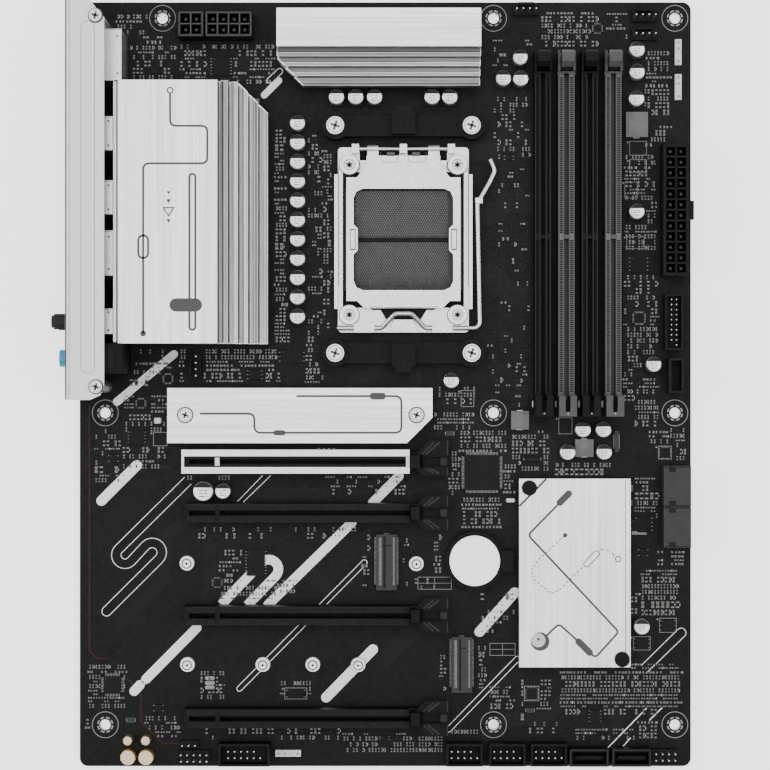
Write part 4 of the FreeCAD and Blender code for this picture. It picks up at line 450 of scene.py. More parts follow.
def print_ink(name, tone, speckle=0.12):
    """Screen-printed ink: slightly broken where it sits on the lacquer's weave."""
    recipe = Recipe(name, Specular_IOR_Level=0.3)
    dark = [channel * (1 - speckle) for channel in tone]
    recipe.colour(recipe.noise(3.5, detail=4.0), dark, tone)
    recipe.gloss(recipe.noise(2.0), 0.55, 0.75)
    return recipe.bump(recipe.noise(6.0, detail=3.0), 0.006).material


def solder():
    """Bright, slightly uneven tinned surface."""
    recipe = Recipe("solder", metallic=1.0)
    recipe.colour(recipe.noise(1.8, detail=3.0), grey(0.55, 0.01), grey(0.78, 0.01))
    recipe.gloss(recipe.noise(2.6, detail=3.0), 0.22, 0.42)
    return recipe.bump(recipe.noise(2.4, detail=2.0), 0.03).material


def chip_resin():
    """Mould compound: matt, with fine filler grain."""
    recipe = Recipe("chip_resin", Specular_IOR_Level=0.16)
    recipe.colour(recipe.noise(8.0, detail=5.0), 0.004, 0.008, 0.35, 0.65)
    recipe.gloss(recipe.noise(0.8, detail=3.0), 0.48, 0.62)
    return recipe.bump(recipe.noise(9.0, detail=4.0), 0.012).material


def turned_steel():
    """Coin cell steel: fine even grain with light handling scratches."""
    recipe = Recipe("cell_steel", metallic=1.0)
    scratches = recipe.noise(0.9, (4.0, 0.2, 1.0), 6.0)
    recipe.colour(scratches, 0.82, 0.93, 0.3, 0.6)
    recipe.gloss(recipe.noise(3.0, detail=4.0), 0.28, 0.4)
    return recipe.bump(scratches, 0.006).material


MASK = solder_mask()
SILK = print_ink("silk_white", grey(1.0), 0.06)
# Grey for the heatsinks' engravings, and for painted shade: the flange's lip edge, the rings
# round its screws and the connector shells' spring dimples.
ENGRAVING_AND_SHADE_GREY = print_ink("engraved_and_shade_grey", grey(0.085), 0.2)
MARK_RED = print_ink("trace_red", (0.045, 0.008, 0.005))
SILK_FINE = print_ink("silk_fine", grey(0.34), 0.15)
COPPER = print_ink("trace_black", grey(0.014), 0.3)
SOLDER = solder()
RESIN = chip_resin()
SINK_Y = brushed("sink_brushed_down", "y")
SINK_X = brushed("sink_brushed_across", "x")
# Darker copies of the brushed finish for the heatsinks' sloped lips and left edge: painted shade,
# full and half.
SHADE_Y = brushed("sink_shade_down", "y", (0.2, 0.34))
SHADE_X = brushed("sink_shade_across", "x", (0.2, 0.34))
HALF_SHADE_Y = brushed("sink_half_shade_down", "y", (0.36, 0.6))
HALF_SHADE_X = brushed("sink_half_shade_across", "x", (0.36, 0.6))
SHIELD = moulded("shield_paint", 0.86, 0.92, (0.34, 0.44), 5.0, 0.006)
DARK_PAINT = moulded(
    "rear_paint", 0.012, 0.02, (0.5, 0.62), 5.0, Specular_IOR_Level=0.25,
)
STEEL = metal("pressed_steel", 0.6, 0.76, (0.3, 0.44), scale=1.6)
NICKEL = metal(
    "nickel_shell", grey(0.6, 0.02), grey(0.74, 0.02), (0.3, 0.4), (0.5, 1.2, 1.2), depth=0.001,
)
SCREW = metal("screw_steel", 0.58, 0.78, (0.22, 0.4), scale=3.0)
CAN = metal("can_aluminium", 0.72, 0.86, (0.3, 0.46), scale=2.5)
CELL = turned_steel()
GOLD = metal("gold_plate", (0.72, 0.46, 0.14), (0.9, 0.64, 0.26), (0.22, 0.38), scale=4.0)
BRASS = metal("gold_sleeve", (0.62, 0.45, 0.2), (0.82, 0.62, 0.32), (0.34, 0.5), scale=2.0)
BLACK = moulded("black_plastic", 0.0028, 0.005, Specular_IOR_Level=0.14)
HEADER = moulded("header_black", 0.009, 0.015, (0.48, 0.66), Specular_IOR_Level=0.14)
GREY = moulded("grey_plastic", 0.075, 0.1, (0.4, 0.56))
DIM_GREY = moulded("slate_plastic", 0.026, 0.034, (0.45, 0.6), Specular_IOR_Level=0.3)
MID_GREY = moulded("smoke_plastic", 0.04, 0.055, (0.4, 0.56))
WHITE = moulded("white_plastic", grey(0.72, 0.01), grey(0.82, 0.01), (0.4, 0.55), 5.0, 0.006)
RUBBER = moulded("cap_rubber", 0.012, 0.02, (0.62, 0.8), 3.0, 0.02)
CYAN = moulded("cyan_plastic", (0.015, 0.28, 0.46), (0.03, 0.38, 0.58), (0.35, 0.5))
LIME = moulded("lime_plastic", (0.16, 0.46, 0.06), (0.24, 0.56, 0.1), (0.35, 0.5))
PINK = moulded("pink_plastic", (0.62, 0.12, 0.2), (0.72, 0.2, 0.28), (0.35, 0.5))
TEAL = moulded("port_blue", (0.01, 0.1, 0.3), (0.02, 0.16, 0.4), (0.4, 0.55))
FERRITE = moulded("ferrite", grey(0.1, 0.01), grey(0.15, 0.01), (0.5, 0.68), 4.0, 0.03)
THERMAL = moulded("thermal_pad", (0.2, 0.24, 0.28), (0.27, 0.31, 0.35), (0.7, 0.85), 1.5, 0.04)
STEEL_BLACK = moulded("backplate_paint", 0.012, 0.02, (0.4, 0.55), 4.0, 0.02)


# ----------------------------------------
# The CAD nodes' finishes
# ----------------------------------------

NODE_FINISH = {
    "rear_shield": DARK_PAINT, "shield_flange": SHIELD, "circuit_board": MASK,
    "left_power_heatsink": SINK_Y, "top_power_heatsink": SINK_X, "drive_heatsink": SINK_X,
    "chipset_heatsink": SINK_Y, "load_plate": STEEL, "socket_frame": STEEL,
    "load_lever": SCREW, "plate_hinge_pin": SCREW, "socket_screws": SCREW,
    "cooler_screws": SCREW, "small_screws": SCREW, "threaded_posts": SCREW,
    "slot_cladding": NICKEL, "coin_battery": CELL, "socket_backplate": STEEL_BLACK,
    "memory_slots_grey": MID_GREY, "memory_latch_2": MID_GREY, "memory_latch_4": MID_GREY,
    "drive_connectors": DIM_GREY, "sata_side_pair": DIM_GREY, "antenna_cap_lower": RUBBER,
    "antenna_cap_upper": RUBBER, "antenna_sockets": GOLD, "power_contacts": STEEL_BLACK,
    "audio_capacitors": BRASS, "capacitors": CAN, "light_header_bases": WHITE,
    "chokes": FERRITE, "board_chips": RESIN, "thermal_pads": THERMAL,
    "port_tongues": TEAL, "audio_jack_rings": CYAN, "video_and_usb_stacks": NICKEL,
    "network_stack": NICKEL, "update_button_box": NICKEL, "antenna_module": NICKEL,
    "front_type_c_header": HEADER, "socket_contacts": GREY,
}

for name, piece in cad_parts.items():
    piece.data.materials.clear()
    piece.data.materials.append(NODE_FINISH.get(name, BLACK))

# ----------------------------------------
# Printing and plating on the board
# ----------------------------------------

INK = 0.03
HAIRLINE = 0.26
BROAD_STRIPE = 3.75
FRAME_LINE = 0.18
TRACE_WIDTH = 0.16
TRACE_HEIGHT = 0.018
HOLES = [
    (10.16, 163.83), (10.16, 288.29), (33.02, 6.35), (165.1, 6.35), (165.1, 163.83),
    (165.1, 288.29), (237.49, 6.35), (237.49, 163.83), (237.49, 288.29),
]


def make_hole_plating():
    """Printed circle, thin tinned rim and broken land round each mounting hole."""
    plating = Pile(SOLDER, SILK_FINE)
    for across, down in HOLES:
        for up in (0.0, -BOARD_THICKNESS - 0.05):
            for turn in range(6, 360, 45):
                arc = ring_points(across, down, 2.95, 4, turn, 30)
                plating.stroke(arc, 0.55, up, 0.05, 1)
            plating.ring(across, down, up, 2.16, 2.02, 0.04)
        plating.ring(across, down, 0.0, 5.3, 5.05, INK, 1, 40)
    plating.make("hole_plating")


def ribbon(ink, route, width):
    """Outline of a ribbon that follows a route, open at its start and round at its end."""
    points = [Vector(point) for point in route]
    left, right = [], []
    for index, point in enumerate(points):
        before = points[max(index - 1, 0)]
        after = points[min(index + 1, len(points) - 1)]
        along = (after - before).normalized()
        normal = Vector((-along.y, along.x)) * width / 2
        left.append(tuple(point - normal))
        right.append(tuple(point + normal))
    heading = points[-1] - points[-2]
    facing = math.degrees(math.atan2(heading.y, heading.x))
    cap = ring_points(*points[-1], width / 2, 10, facing - 90, 180)
    ink.stroke(left[:-1] + cap + right[-2::-1], HAIRLINE, 0.0, INK)


def make_stripes():
    """Broad diagonal stripes, pills and ribbons printed across the lower half of the board."""
    ink = Pile(SILK)
    broad = [
        ((8.6, 198.9), (22.8, 184.7), 4.0), ((127.4, 189.0), (116.9, 199.7), BROAD_STRIPE),
        ((108.6, 207.6), (75.1, 240.4), BROAD_STRIPE),
        ((46.7, 249.6), (26.3, 270.2), BROAD_STRIPE),
        ((24.0, 272.4), (21.7, 274.9), BROAD_STRIPE), ((117.0, 258.2), (98.3, 277.4), 4.0),
        ((173.6, 235.5), (159.5, 251.2), 4.0), ((14.8, 159.4), (37.6, 140.4), 3.2),
        ((79.4, 31.2), (73.6, 37.0), 2.7),
    ]
    for start, end, width in broad:
        ink.prism(pill_points(start, end, width / 2), 0.0, INK)
    hollow = [
        ((113.6, 223.5), (63.7, 273.9), 1.05, HAIRLINE),
        ((174.6, 262.0), (147.2, 290.2), 1.05, HAIRLINE),
        ((79.8, 27.5), (75.8, 31.2), 1.15, 0.28),
    ]
    for start, end, radius, line in hollow:
        ink.stroke(pill_points(start, end, radius), line, 0.0, INK, closed=True)
    turn = ring_points(75.4, 226.2, 3.85, 12, -135, 180)
    ink.stroke([(56.5, 240.3), *turn, (66.9, 240.6)], BROAD_STRIPE, 0.0, INK)
    upper_turn = ring_points(28.9, 219.5, 3.8, 12, -135, 180)
    lower_turn = ring_points(18.0, 220.6, 3.45, 12, 225, -180)
    ribbon(ink, [(43.1, 190.9), *lower_turn, *upper_turn, (10.7, 243.0)], 3.8)
    crown = ring_points(240.0, 251.6, 1.9, 10, 225, 180)
    thin = [
        (HAIRLINE, [(73.0, 188.8), (62.9, 199.2)]), (HAIRLINE, [(76.2, 188.8), (65.3, 199.4)]),
        (HAIRLINE, [(224.1, 264.6), *crown, (226.0, 267.8)]),
        (0.4, [(226.2, 281.7), (209.9, 298.3)]), (0.4, [(232.4, 281.5), (227.3, 286.5)]),
        (0.4, [(219.8, 293.5), (215.8, 298.0)]),
    ]
    for line, route in thin:
        ink.stroke(route, line, 0.0, INK)
    for step in range(4):
        ink.stroke([(94 + 2 * step, 179.6), (95.6 + 2 * step, 178.0)], 0.45, 0.0, INK)
    ink.make("printed_stripes")


def make_part_outlines():
    """Thin printed frames round parts, pin-one ticks and small tables."""
    ink = Pile(SILK_FINE)
    frames = [
        (154.7, 158.1, 5.1, 6.4), (193.8, 169.0, 5.3, 6.4), (233.5, 179.7, 5.2, 5.2),
        (234.7, 248.6, 6.7, 5.6), (224.3, 255.8, 6.7, 5.3), (222.8, 58.2, 6.7, 5.5),
        (32.1, 174.3, 5.4, 5.4),
        (222.8, 65.4, 6.7, 5.2), (220.0, 74.9, 4.9, 6.4), (221.7, 95.8, 7.0, 4.8),
        (86.2, 275.8, 8.8, 4.4), (180.3, 275.8, 5.8, 5.8),
    ]
    tables = [(141.6, 231.8, 13.3, 4.8), (168.7, 258.2, 10.1, 4.8)]
    for across, down, wide, deep in frames + tables:
        ink.stroke(rectangle(across, down, wide, deep), FRAME_LINE, 0.0, INK, closed=True)
    for across, down, wide, deep in frames:
        ink.disc(across - wide / 2 - 0.8, down - deep / 2 + 0.4, 0.0, 0.35, INK, sides=10)
    for across, down, wide, deep in tables:
        ink.stroke([(across - wide / 2, down), (across + wide / 2, down)], 0.15, 0.0, INK)
        ink.stroke([(across, down - deep / 2), (across, down + deep / 2)], 0.15, 0.0, INK)
    for down in (269.7, 271.6, 273.4):
        ink.prism(pill_points((50.7, down), (53.1, down), 0.75), 0.0, INK)
    ink.make("printed_outlines")


def bus(lines, route, count, pitch):
    """Parallel traces side by side along a route."""
    points = [Vector(point) for point in route]
    for lane in range(count):
        shift = (lane - (count - 1) / 2) * pitch
        moved = []
        for index, point in enumerate(points):
            before = points[max(index - 1, 0)]
            after = points[min(index + 1, len(points) - 1)]
            into = (point - before).normalized() if index else (after - point).normalized()
            out = (after - point).normalized() if index < len(points) - 1 else into
            along = (into + out).normalized()
            normal = Vector((-along.y, along.x))
            stretch = 1 / max(0.4, normal.dot(Vector((-into.y, into.x))))
            moved.append(tuple(point + normal * shift * stretch))
        lines.stroke(moved, TRACE_WIDTH, 0.0, TRACE_HEIGHT)


def make_traces():
    """Copper that shows as low ridges under the lacquer, and the red-brown audio guard trace."""
    lines = Pile(COPPER)
    for count, pitch, *route in (
        (14, 0.5, (156, 60), (164, 60), (172, 52), (181, 52)),
        (16, 0.5, (156, 84), (166, 84), (170, 80), (181, 80)),
        (16, 0.5, (156, 108), (164, 108), (173, 117), (181, 117)),
        (12, 0.6, (118, 138), (118, 146), (108, 156), (108, 176)),
        (8, 0.6, (134, 137), (134, 151), (126, 159), (126, 178)),
        (10, 0.7, (146, 134), (146, 158), (170, 182), (170, 192)),
        (8, 0.8, (176, 206), (150, 206), (144, 212), (144, 240), (120, 264)),
        (8, 0.7, (190, 190), (190, 180), (176, 166), (176, 150)),
        (10, 0.7, (219, 200), (231, 200)),
        (8, 0.7, (219, 240), (226, 247), (226, 262), (214, 274), (214, 294)),
        (8, 0.7, (196, 265), (196, 276), (186, 286), (172, 286), (160, 294)),
        (6, 0.8, (14, 250), (34, 230), (34, 214), (52, 196), (100, 196)),
        (6, 0.8, (30, 262), (48, 244), (52, 234), (52, 216)),
        (8, 0.7, (90, 226), (100, 236), (100, 252)),
        (6, 0.9, (212, 40), (212, 130), (218, 136), (228, 136)),
    ):
        bus(lines, route, count, pitch)
    lines.make("copper_traces")
    guard = Pile(MARK_RED)
    for route in (
        [(3.8, 160.6), (3.8, 258.7), (7.0, 261.9), (10.6, 261.9)],
        [(18.8, 269.9), (24.4, 274.7), (24.4, 287.0), (32.9, 295.6), (40.1, 295.8)],
    ):
        guard.stroke(route, 0.45, 0.0, 0.02)
    guard.make("audio_guard_trace")


make_hole_plating()
make_stripes()
make_part_outlines()
make_traces()

# ----------------------------------------
# Processor socket
# ----------------------------------------

CONTACT_ACROSS = 0.94
CONTACT_DOWN = 0.81
PIN_RISE = 0.4
PRESSED = 0.03
RAIL_LENGTH = 47.0


def make_contact_field():
    """Two beds of sprung contacts in staggered rows; each contact leans towards the hinge."""
    field = Pile(BED, PIN)
    for low, high in islands("socket_contacts"):
        wide, deep = size_of(low, high)
        floor = high[2] - 0.34
        field.box(*middle_of(low, high), low[2], wide, deep, floor - low[2], 0, 0.15)
        rows = int((deep - 0.8) / CONTACT_DOWN)
        columns = int((wide - 1.4) / CONTACT_ACROSS)
        for row in range(rows):
            down = low[1] + 0.6 + row * CONTACT_DOWN
            shift = CONTACT_ACROSS / 2 * (row % 2)
            for column in range(columns):
                across = low[0] + 0.7 + shift + column * CONTACT_ACROSS
                points = []
                for foot, tip, rise in ((0.28, -0.26, 0.3), (0.16, -0.3, 0.24)):
                    points += [(across + x, down + foot, floor) for x in (-0.17, 0.17)]
                    points += [(across + x, down + tip, floor + rise) for x in (0.1, -0.1)]
                field.add(points, capped(2, 4), 1)
    field.make("contact_field", replaces=["socket_contacts"])


def make_plate_details():
    """Pressed border, upright side tabs and stiffening ribs of the load plate; the border, ribs
    and pressed lines are dark strokes and patches, painted shade.
    """
    low, high = span("load_plate")
    beds = islands("socket_contacts")
    window_low, window_high = beds[0][0], beds[-1][1]
    middle_a = (low[0] + high[0]) / 2
    middle_d = (window_low[1] + window_high[1]) / 2
    top = high[2] - PIN_RISE
    rear = low[1]
    trim = Pile(STEEL, GROOVE_SHADE)
    half_a = (window_high[0] - window_low[0]) / 2 + 0.9
    half_d = (window_high[1] - window_low[1]) / 2 + 1.5
    for side in (-1, 1):
        edge = middle_a + side * (half_a - 0.3)
        # Dark border round each upright tab; below it, dark rail, rib and front lines: painted
        # shade of the pressings.
        trim.box(edge, middle_d, top, 2.3, 8.4, PRESSED, 1)
        trim.box(edge, middle_d, top, 1.7, 7.6, 0.3, 0, 0.15)
        rail = middle_a + side * (half_a + 2.6)
        ends = [(rail, middle_d - half_d + 1), (rail, middle_d + half_d - 1)]
        trim.stroke(ends, 0.16, top, PRESSED, 1)
        trim.box(middle_a + side * 5.0, rear + 3.8, top, 3.2, 1.6, PRESSED, 1)
        for radius, width, route in (
            (1.6, 0.24, ((2.2, 3.8), (2.2, 7.0), (8.9, 7.0), (8.9, 3.0))),
            (2.0, 0.22, ((17.6, 6.4), (16.8, 9.0), (18.4, 10.8))),
        ):
            pressed = [(middle_a + side * a, rear + d) for a, d in route]
            trim.stroke(rounded(pressed, radius), width, top, PRESSED, 1)
    front = [
        (middle_a - 13.6, high[1] - 0.6), (middle_a - 6.0, high[1] - 0.25),
        (middle_a + 6.0, high[1] - 0.25), (middle_a + 13.6, high[1] - 0.6),
    ]
    trim.stroke(front, 0.24, top, PRESSED, 1)
    trim.make("load_plate_pressings_and_shade", body="hinged_plate")


def make_frame_details():
    """Insulator sheet, painted shadow strips along the load plate's front edge and sides, folded
    side rails, front tongue and lever hook of the socket frame; the dark rings, stars and rail
    lines are painted shade.
    """
    plate_low, plate_high = span("load_plate")
    frame_low, frame_high = span("socket_frame")
    screws = islands("socket_screws")
    foot = screws[0][0][2]
    middle = (frame_low[0] + frame_high[0]) / 2
    centre = (plate_low[1] + plate_high[1]) / 2
    front = plate_high[1]
    shadow_strips = Pile(BLACK)
    # Black sheet in front of the load plate: partly the socket's insulator, partly painted shade.
    shadow_strips.prism([
        (middle - 9.2, front + 0.5), (middle + 9.4, front + 0.5),
        (middle + 6.6, front + 5.0), (middle - 6.6, front + 5.0),
    ], foot, foot + 0.04)
    # Dark band under the load plate's front edge: painted shadow.
    shadow_strips.prism([
        (middle - 14.4, front - 0.6), (middle + 14.4, front - 0.6),
        (middle + 12.0, front + 0.7), (middle - 12.0, front + 0.7),
    ], foot, foot + 0.05)
    steel = Pile(STEEL, GROOVE_SHADE)
    steel.prism([
        (middle - 4.2, front + 4.4), (middle + 4.2, front + 4.4),
        (middle + 5.6, frame_high[1] - 0.4), (middle - 5.6, frame_high[1] - 0.4),
    ], foot, foot + 0.5, 0, 0.2)
    for side in (-1, 1):
        edge = middle + side * ((plate_high[0] - plate_low[0]) / 2 + 0.75)
        # Dark strip beside each side of the load plate: painted shadow of the gap.
        shadow_strips.box(edge, centre + 2.6, foot, 1.4, RAIL_LENGTH, 0.04)
        steel.box(middle + side * 8.8, frame_high[1] - 1.1, foot, 5.4, 1.5, 0.6, 0, 0.2)
        rail = middle + side * ((frame_high[0] - frame_low[0]) / 2 - 1.6)
        # Dark line along the rail: painted shade of its fold.
        steel.box(rail, centre, foot, 0.28, RAIL_LENGTH, 0.04, 1)
    shadow_strips.make("frame_insulator_and_shadow_strips")
    for low, high in screws:
        across, down = middle_of(low, high)
        # Dark rings round each screw and a dark star in its head: painted shade.
        steel.ring(across, down, foot, 4.15, 3.75, 0.05, 1)
        steel.ring(across, down, high[2], 2.25, 2.0, 0.03, 1)
        for turn in (0, 60, 120):
            star = ring_points(across, down, 1.75, 2, turn + 30)
            steel.stroke(star, 0.75, high[2] - 1.38, 0.03, 1)
    steel.make("frame_pressings_and_shade")
    _, lever_high = span("load_lever")
    sleeve = Pile(STEEL)
    sleeve.box(lever_high[0] - 7.0, 79.6, 5.4, 3.4, 2.7, 2.9, 0, 0.3)
    sleeve.make("lever_hook_sleeve", body="lever", bevel=0.15)


def make_backplate_details():
    """Embossed ribs and threaded bushes of the plate on the board's underside."""
    low, high = span("socket_backplate")
    under = Pile(STEEL_BLACK, SCREW)
    middle = (low[0] + high[0]) / 2
    floor = high[2]
    for side in (-1, 1):
        across = middle + side * 26.4
        rib = pill_points((across, low[1] + 12), (across, high[1] - 12), 1.4)
        under.prism(rib, floor - 2.27, floor - 2.2)
    for screw in islands("socket_screws"):
        under.ring(*middle_of(*screw), floor - 2.26, 2.6, 1.3, 0.4, 1, 20)
    under.make("backplate_ribs")


# Dark metal for the lines, rings and crosses that stand in for pressed grooves, folds, gaps and
# screw recesses: painted shade.
GROOVE_SHADE = metal("groove_shade", 0.05, 0.1, (0.4, 0.55), scale=2.0)
BED = moulded("contact_bed", 0.03, 0.05, (0.5, 0.65), Specular_IOR_Level=0.3)
PIN = metal("contact_plate", 0.3, 0.5, (0.3, 0.5), scale=4.0)

make_contact_field()
make_plate_details()
make_frame_details()
make_backplate_details()

# ----------------------------------------
# Heatsinks and the connector shield
# ----------------------------------------

LINE = 0.82
FINE_LINE = 0.3
SHALLOW = 0.02
DEEPER = 1.5 * SHALLOW


def make_left_sink_marks():
    """Engraved circuit-like lines, slots and arrows on the left power heatsink."""
    _, high = span("left_power_heatsink")
    top = high[2]
    marks = Pile(ENGRAVING_AND_SHADE_GREY)
    marks.ring(38.8, 38.9, top, 1.35, 0.8, SHALLOW)
    route = [
        (38.8, 40.2), (38.8, 52.6), (53.2, 52.6), (53.2, 67.1), (28.4, 67.1), (28.4, 132.6),
    ]
    marks.stroke(rounded(route, 2.4), LINE, top, SHALLOW)
    marks.disc(28.4, 132.8, top, 1.15, SHALLOW)
    for across, first, last, radius in ((28.4, 96.8, 101.8, 1.9), (47.4, 72.3, 130.2, 1.15)):
        slot = pill_points((across, first), (across, last), radius)
        marks.stroke(slot, LINE, top, SHALLOW, closed=True)
    marks.prism(pill_points((41.1, 121.8), (48.6, 121.8), 2.6), top, top + DEEPER)
    for down, size in ((78.4, 0.8), (81.6, 1.0), (89.3, 0.9)):
        rear = down - size * 0.7
        arrow = [(38.2 - size, rear), (38.2 + size, rear), (38.2, down + size)]
        marks.prism(arrow, top, top + SHALLOW)
    arrow = [(36.2, 84.2), (40.2, 84.2), (38.2, 87.4)]
    marks.stroke(arrow, 0.5, top, SHALLOW, closed=True)
    marks.make("left_sink_engraving")


def make_drive_sink_marks():
    """Engraved line with two capsules, and rings round the two screws."""
    _, high = span("drive_heatsink")
    top = high[2]
    marks = Pile(ENGRAVING_AND_SHADE_GREY)
    route = [
        (48.5, 164.0), (70.1, 164.0), (70.1, 171.6),
        (128.3, 171.6), (128.3, 157.1), (86.7, 157.1),
    ]
    marks.stroke(rounded(route, 2.6), LINE, top, SHALLOW)
    for across, down, half, radius in ((118.9, 157.1, 1.9, 1.35), (80.0, 171.6, 1.4, 1.05)):
        capsule = pill_points((across - half, down), (across + half, down), radius)
        marks.prism(capsule, top, top + DEEPER)
    for screw_low, screw_high in islands("small_screws"):
        across, down = middle_of(screw_low, screw_high)
        if abs(screw_high[2] - top) < 2.0 and 30 < across < 145 and 150 < down < 180:
            marks.ring(across, down, top, 3.3, 2.75, SHALLOW)
    marks.make("drive_sink_engraving")


def make_chipset_marks():
    """Engraved lines, dotted path and capsules on the chipset heatsink."""
    low, high = span("chipset_heatsink")
    top = high[2]
    marks = Pile(ENGRAVING_AND_SHADE_GREY, PALE)
    solid = [
        [(low[0] + 0.1, 200.6), (185.6, low[1] + 0.1)],
        [(192.6, 197.6), (178.4, 212.1), (214.3, 250.4), (205.0, 260.6), (201.6, 257.4)],
        [(198.1, 254.0), (190.6, 247.2), (185.8, 251.8)],
    ]
    for route in solid:
        marks.stroke(rounded(route, 1.6), LINE, top, SHALLOW)
    for start, end in (((194.5, 195.7), (191.0, 199.2)), ((202.8, 258.6), (198.4, 254.2))):
        marks.prism(pill_points(start, end, 1.35), top, top + DEEPER)
    marks.disc(183.2, 254.2, top, 3.7, SHALLOW, 0, sides=32)
    marks.disc(182.5, 253.7, top, 2.75, 2 * SHALLOW, 1, sides=32)
    for turn in range(3):
        bar = ring_points(182.5, 253.3, 0.75, 2, 60 * turn)
        marks.stroke(bar, FINE_LINE, top, 3 * SHALLOW)
    dashed = [
        [(193.1, 212.1), (182.2, 222.1), (179.6, 226.4), (180.3, 229.4), (187.5, 235.1),
         (190.5, 234.1), (200.2, 224.5)],
        [(206.4, 218.1), (209.0, 217.5), (211.2, 218.9), (213.1, 220.6)],
    ]
    for route in dashed:
        for start, end in zip(route, route[1:]):
            a, b = Vector(start), Vector(end)
            count = max(1, round((b - a).length / 1.9))
            for step in range(count):
                dash = [a.lerp(b, (step + 0.2) / count), a.lerp(b, (step + 0.75) / count)]
                marks.stroke(dash, 0.4, top, SHALLOW)
    marks.disc(193.1, 212.1, top, 0.9, SHALLOW)
    capsule = pill_points((201.6, 223.5), (205.5, 219.5), 1.15)
    marks.stroke(capsule, 0.4, top, SHALLOW, closed=True)
    marks.ring(214.1, 221.6, top, 1.3, 0.85, SHALLOW)
    edge = high[0] - 2.0
    marks.stroke([(edge, low[1] + 0.4), (edge, high[1] - 0.4)], FINE_LINE, top, SHALLOW)
    marks.make("chipset_sink_engraving")


def make_flange_marks():
    """Long pressed pill, the edge of the folded outer lip and rings round the screws on the
    connector shield's flange, drawn as grey lines: painted shade.
    """
    low, high = span("shield_flange")
    top = high[2]
    marks = Pile(ENGRAVING_AND_SHADE_GREY, PRESSED_LINE_SHADE)
    # Grey outline of the pressed pill: painted shade of its groove.
    pill = pill_points((7.7, 15.6), (7.7, 145.7), 2.6)
    marks.stroke(pill, FINE_LINE, top, SHALLOW, 1, closed=True)
    # Dark line on the lip's outer edge and a grey line at its bend: painted shade of the fold.
    for inset, ends, line, kind in ((0.3, 0.4, 0.55, 0), (1.6, 0.6, FINE_LINE, 1)):
        lip = [(low[0] + inset, low[1] + ends), (low[0] + inset, high[1] - ends)]
        marks.stroke(lip, line, top, SHALLOW, kind)
    # Grey rings round the screw heads: painted shade.
    for screw_low, screw_high in islands("small_screws"):
        across, down = middle_of(screw_low, screw_high)
        if across < high[0] and screw_high[2] > top:
            outer = (screw_high[0] - screw_low[0]) / 2 + 0.55
            marks.ring(across, down, top, outer, 1.0, SHALLOW)
    marks.make("shield_flange_pressing_shade")


def make_connector_covers():
    """Plastic tops, spring dimples and seams on the connector shells behind the shield; the
    dimples are dark grey discs, painted shade.
    """
    covers = Pile(HEADER, ENGRAVING_AND_SHADE_GREY)
    for node in ("video_and_usb_stacks", "network_stack", "antenna_module", "update_button_box"):
        for low, high in islands(node):
            wide, deep = size_of(low, high)
            if wide < 6 or deep < 4:
                continue
            _, down = middle_of(low, high)
            # Dark grey spring dimples: painted shade.
            for share in (0.14, 0.86):
                place = low[1] + deep * share
                covers.disc(high[0] - 1.6, place, high[2], 0.42, 0.03, 1, sides=12)
            seam = down - deep / 2 + 0.4
            covers.stroke([(low[0] + 0.6, seam), (high[0] - 0.4, seam)], 0.2, high[2], 0.02, 1)
    for low, high in islands("audio_stack"):
        if high[2] > 30:
            covers.box(*middle_of(low, high), high[2], 14.0, 8.0, 0.3, 0, 0.2)
    covers.make("connector_shell_details")


def make_fins(name, node, axis, finishes, steps, lowest, cut, bands, groove):
    """Sloped lips on the steps of a heatsink, whose corner is cut away; each lip takes a lit,
    half-shaded or shaded copy of the brushed finish, which is painted shade.

    axis: 0 where the steps follow each other across, 1 where they do so down.
    steps: their number, and how far from the heatsink's start they begin.
    bands: the lips of one step as (first share, last share, height).
    groove: the dark line of one step, painted shade of its groove, as (share, width).
    """
    low, high = span(node)
    fins = Pile(*finishes)
    start = low[axis] + steps[1]
    pitch = (high[axis] - start) / steps[0]
    drop = (high[2] - lowest) / steps[0]
    near, far = low[1 - axis] + 0.2, high[1 - axis] - 0.2

    def plan(along, aside):
        return (along, aside) if axis == 0 else (aside, along)

    def edge_at(along, cut):
        return near + max(0.0, along - high[axis] + cut)

    # Each step's two lips get lit, half-shaded or shaded copies of the finish: painted shade.
    for step, tones in zip(range(steps[0]), FIN_SHADES):
        level = high[2] - drop * (step + 1)
        for (first, last, tall), tone in zip(bands, tones):
            a, b = start + pitch * (step + first), start + pitch * (step + last)
            places = ((a, edge_at(a, cut)), (b, edge_at(b, cut)), (b, far), (a, far))
            corners = [plan(*place) for place in places]
            points = [(*corner, level - 0.05) for corner in corners]
            rise = (tall, 0.1, 0.1, tall)
            points += [(*corner, level + up) for corner, up in zip(corners, rise)]
            fins.add(points, capped(2, 4), tone)
        a = start + pitch * step + groove[0]
        edge = edge_at(a, cut + 0.2)
        middle = plan(a, (edge + high[1 - axis]) / 2)
        size = plan(groove[1], high[1 - axis] - edge - 0.4)
        # Dark line across the step: painted shade of its groove.
        fins.box(*middle, level, *size, 0.03, 1)
    if axis == 0:
        _, down = middle_of(low, high)
        # Half-shaded strip along the heatsink's left edge: painted shade of its bevel.
        fins.box(low[0] + 0.9, down, high[2] - 1.95, 1.5, high[1] - low[1] - 1.0, 0.9, 3)
    fins.make(name)


def make_screw_recess_shade():
    """Cross recesses and rims of the small screws and the cooler screws, drawn as dark strokes
    and rings: painted shade.
    """
    marks = Pile(GROOVE_SHADE)
    for node, reach in (("small_screws", 1.4), ("cooler_screws", 1.9)):
        for low, high in islands(node):
            if high[2] < 3:
                continue
            across, down = middle_of(low, high)
            for turn in (20, 110):
                marks.stroke(ring_points(across, down, reach, 2, turn), 0.8, high[2], 0.03)
            radius = (high[0] - low[0]) / 2
            marks.ring(across, down, high[2], radius * 0.86, radius * 0.78, 0.03)
    marks.make("screw_recess_shade")


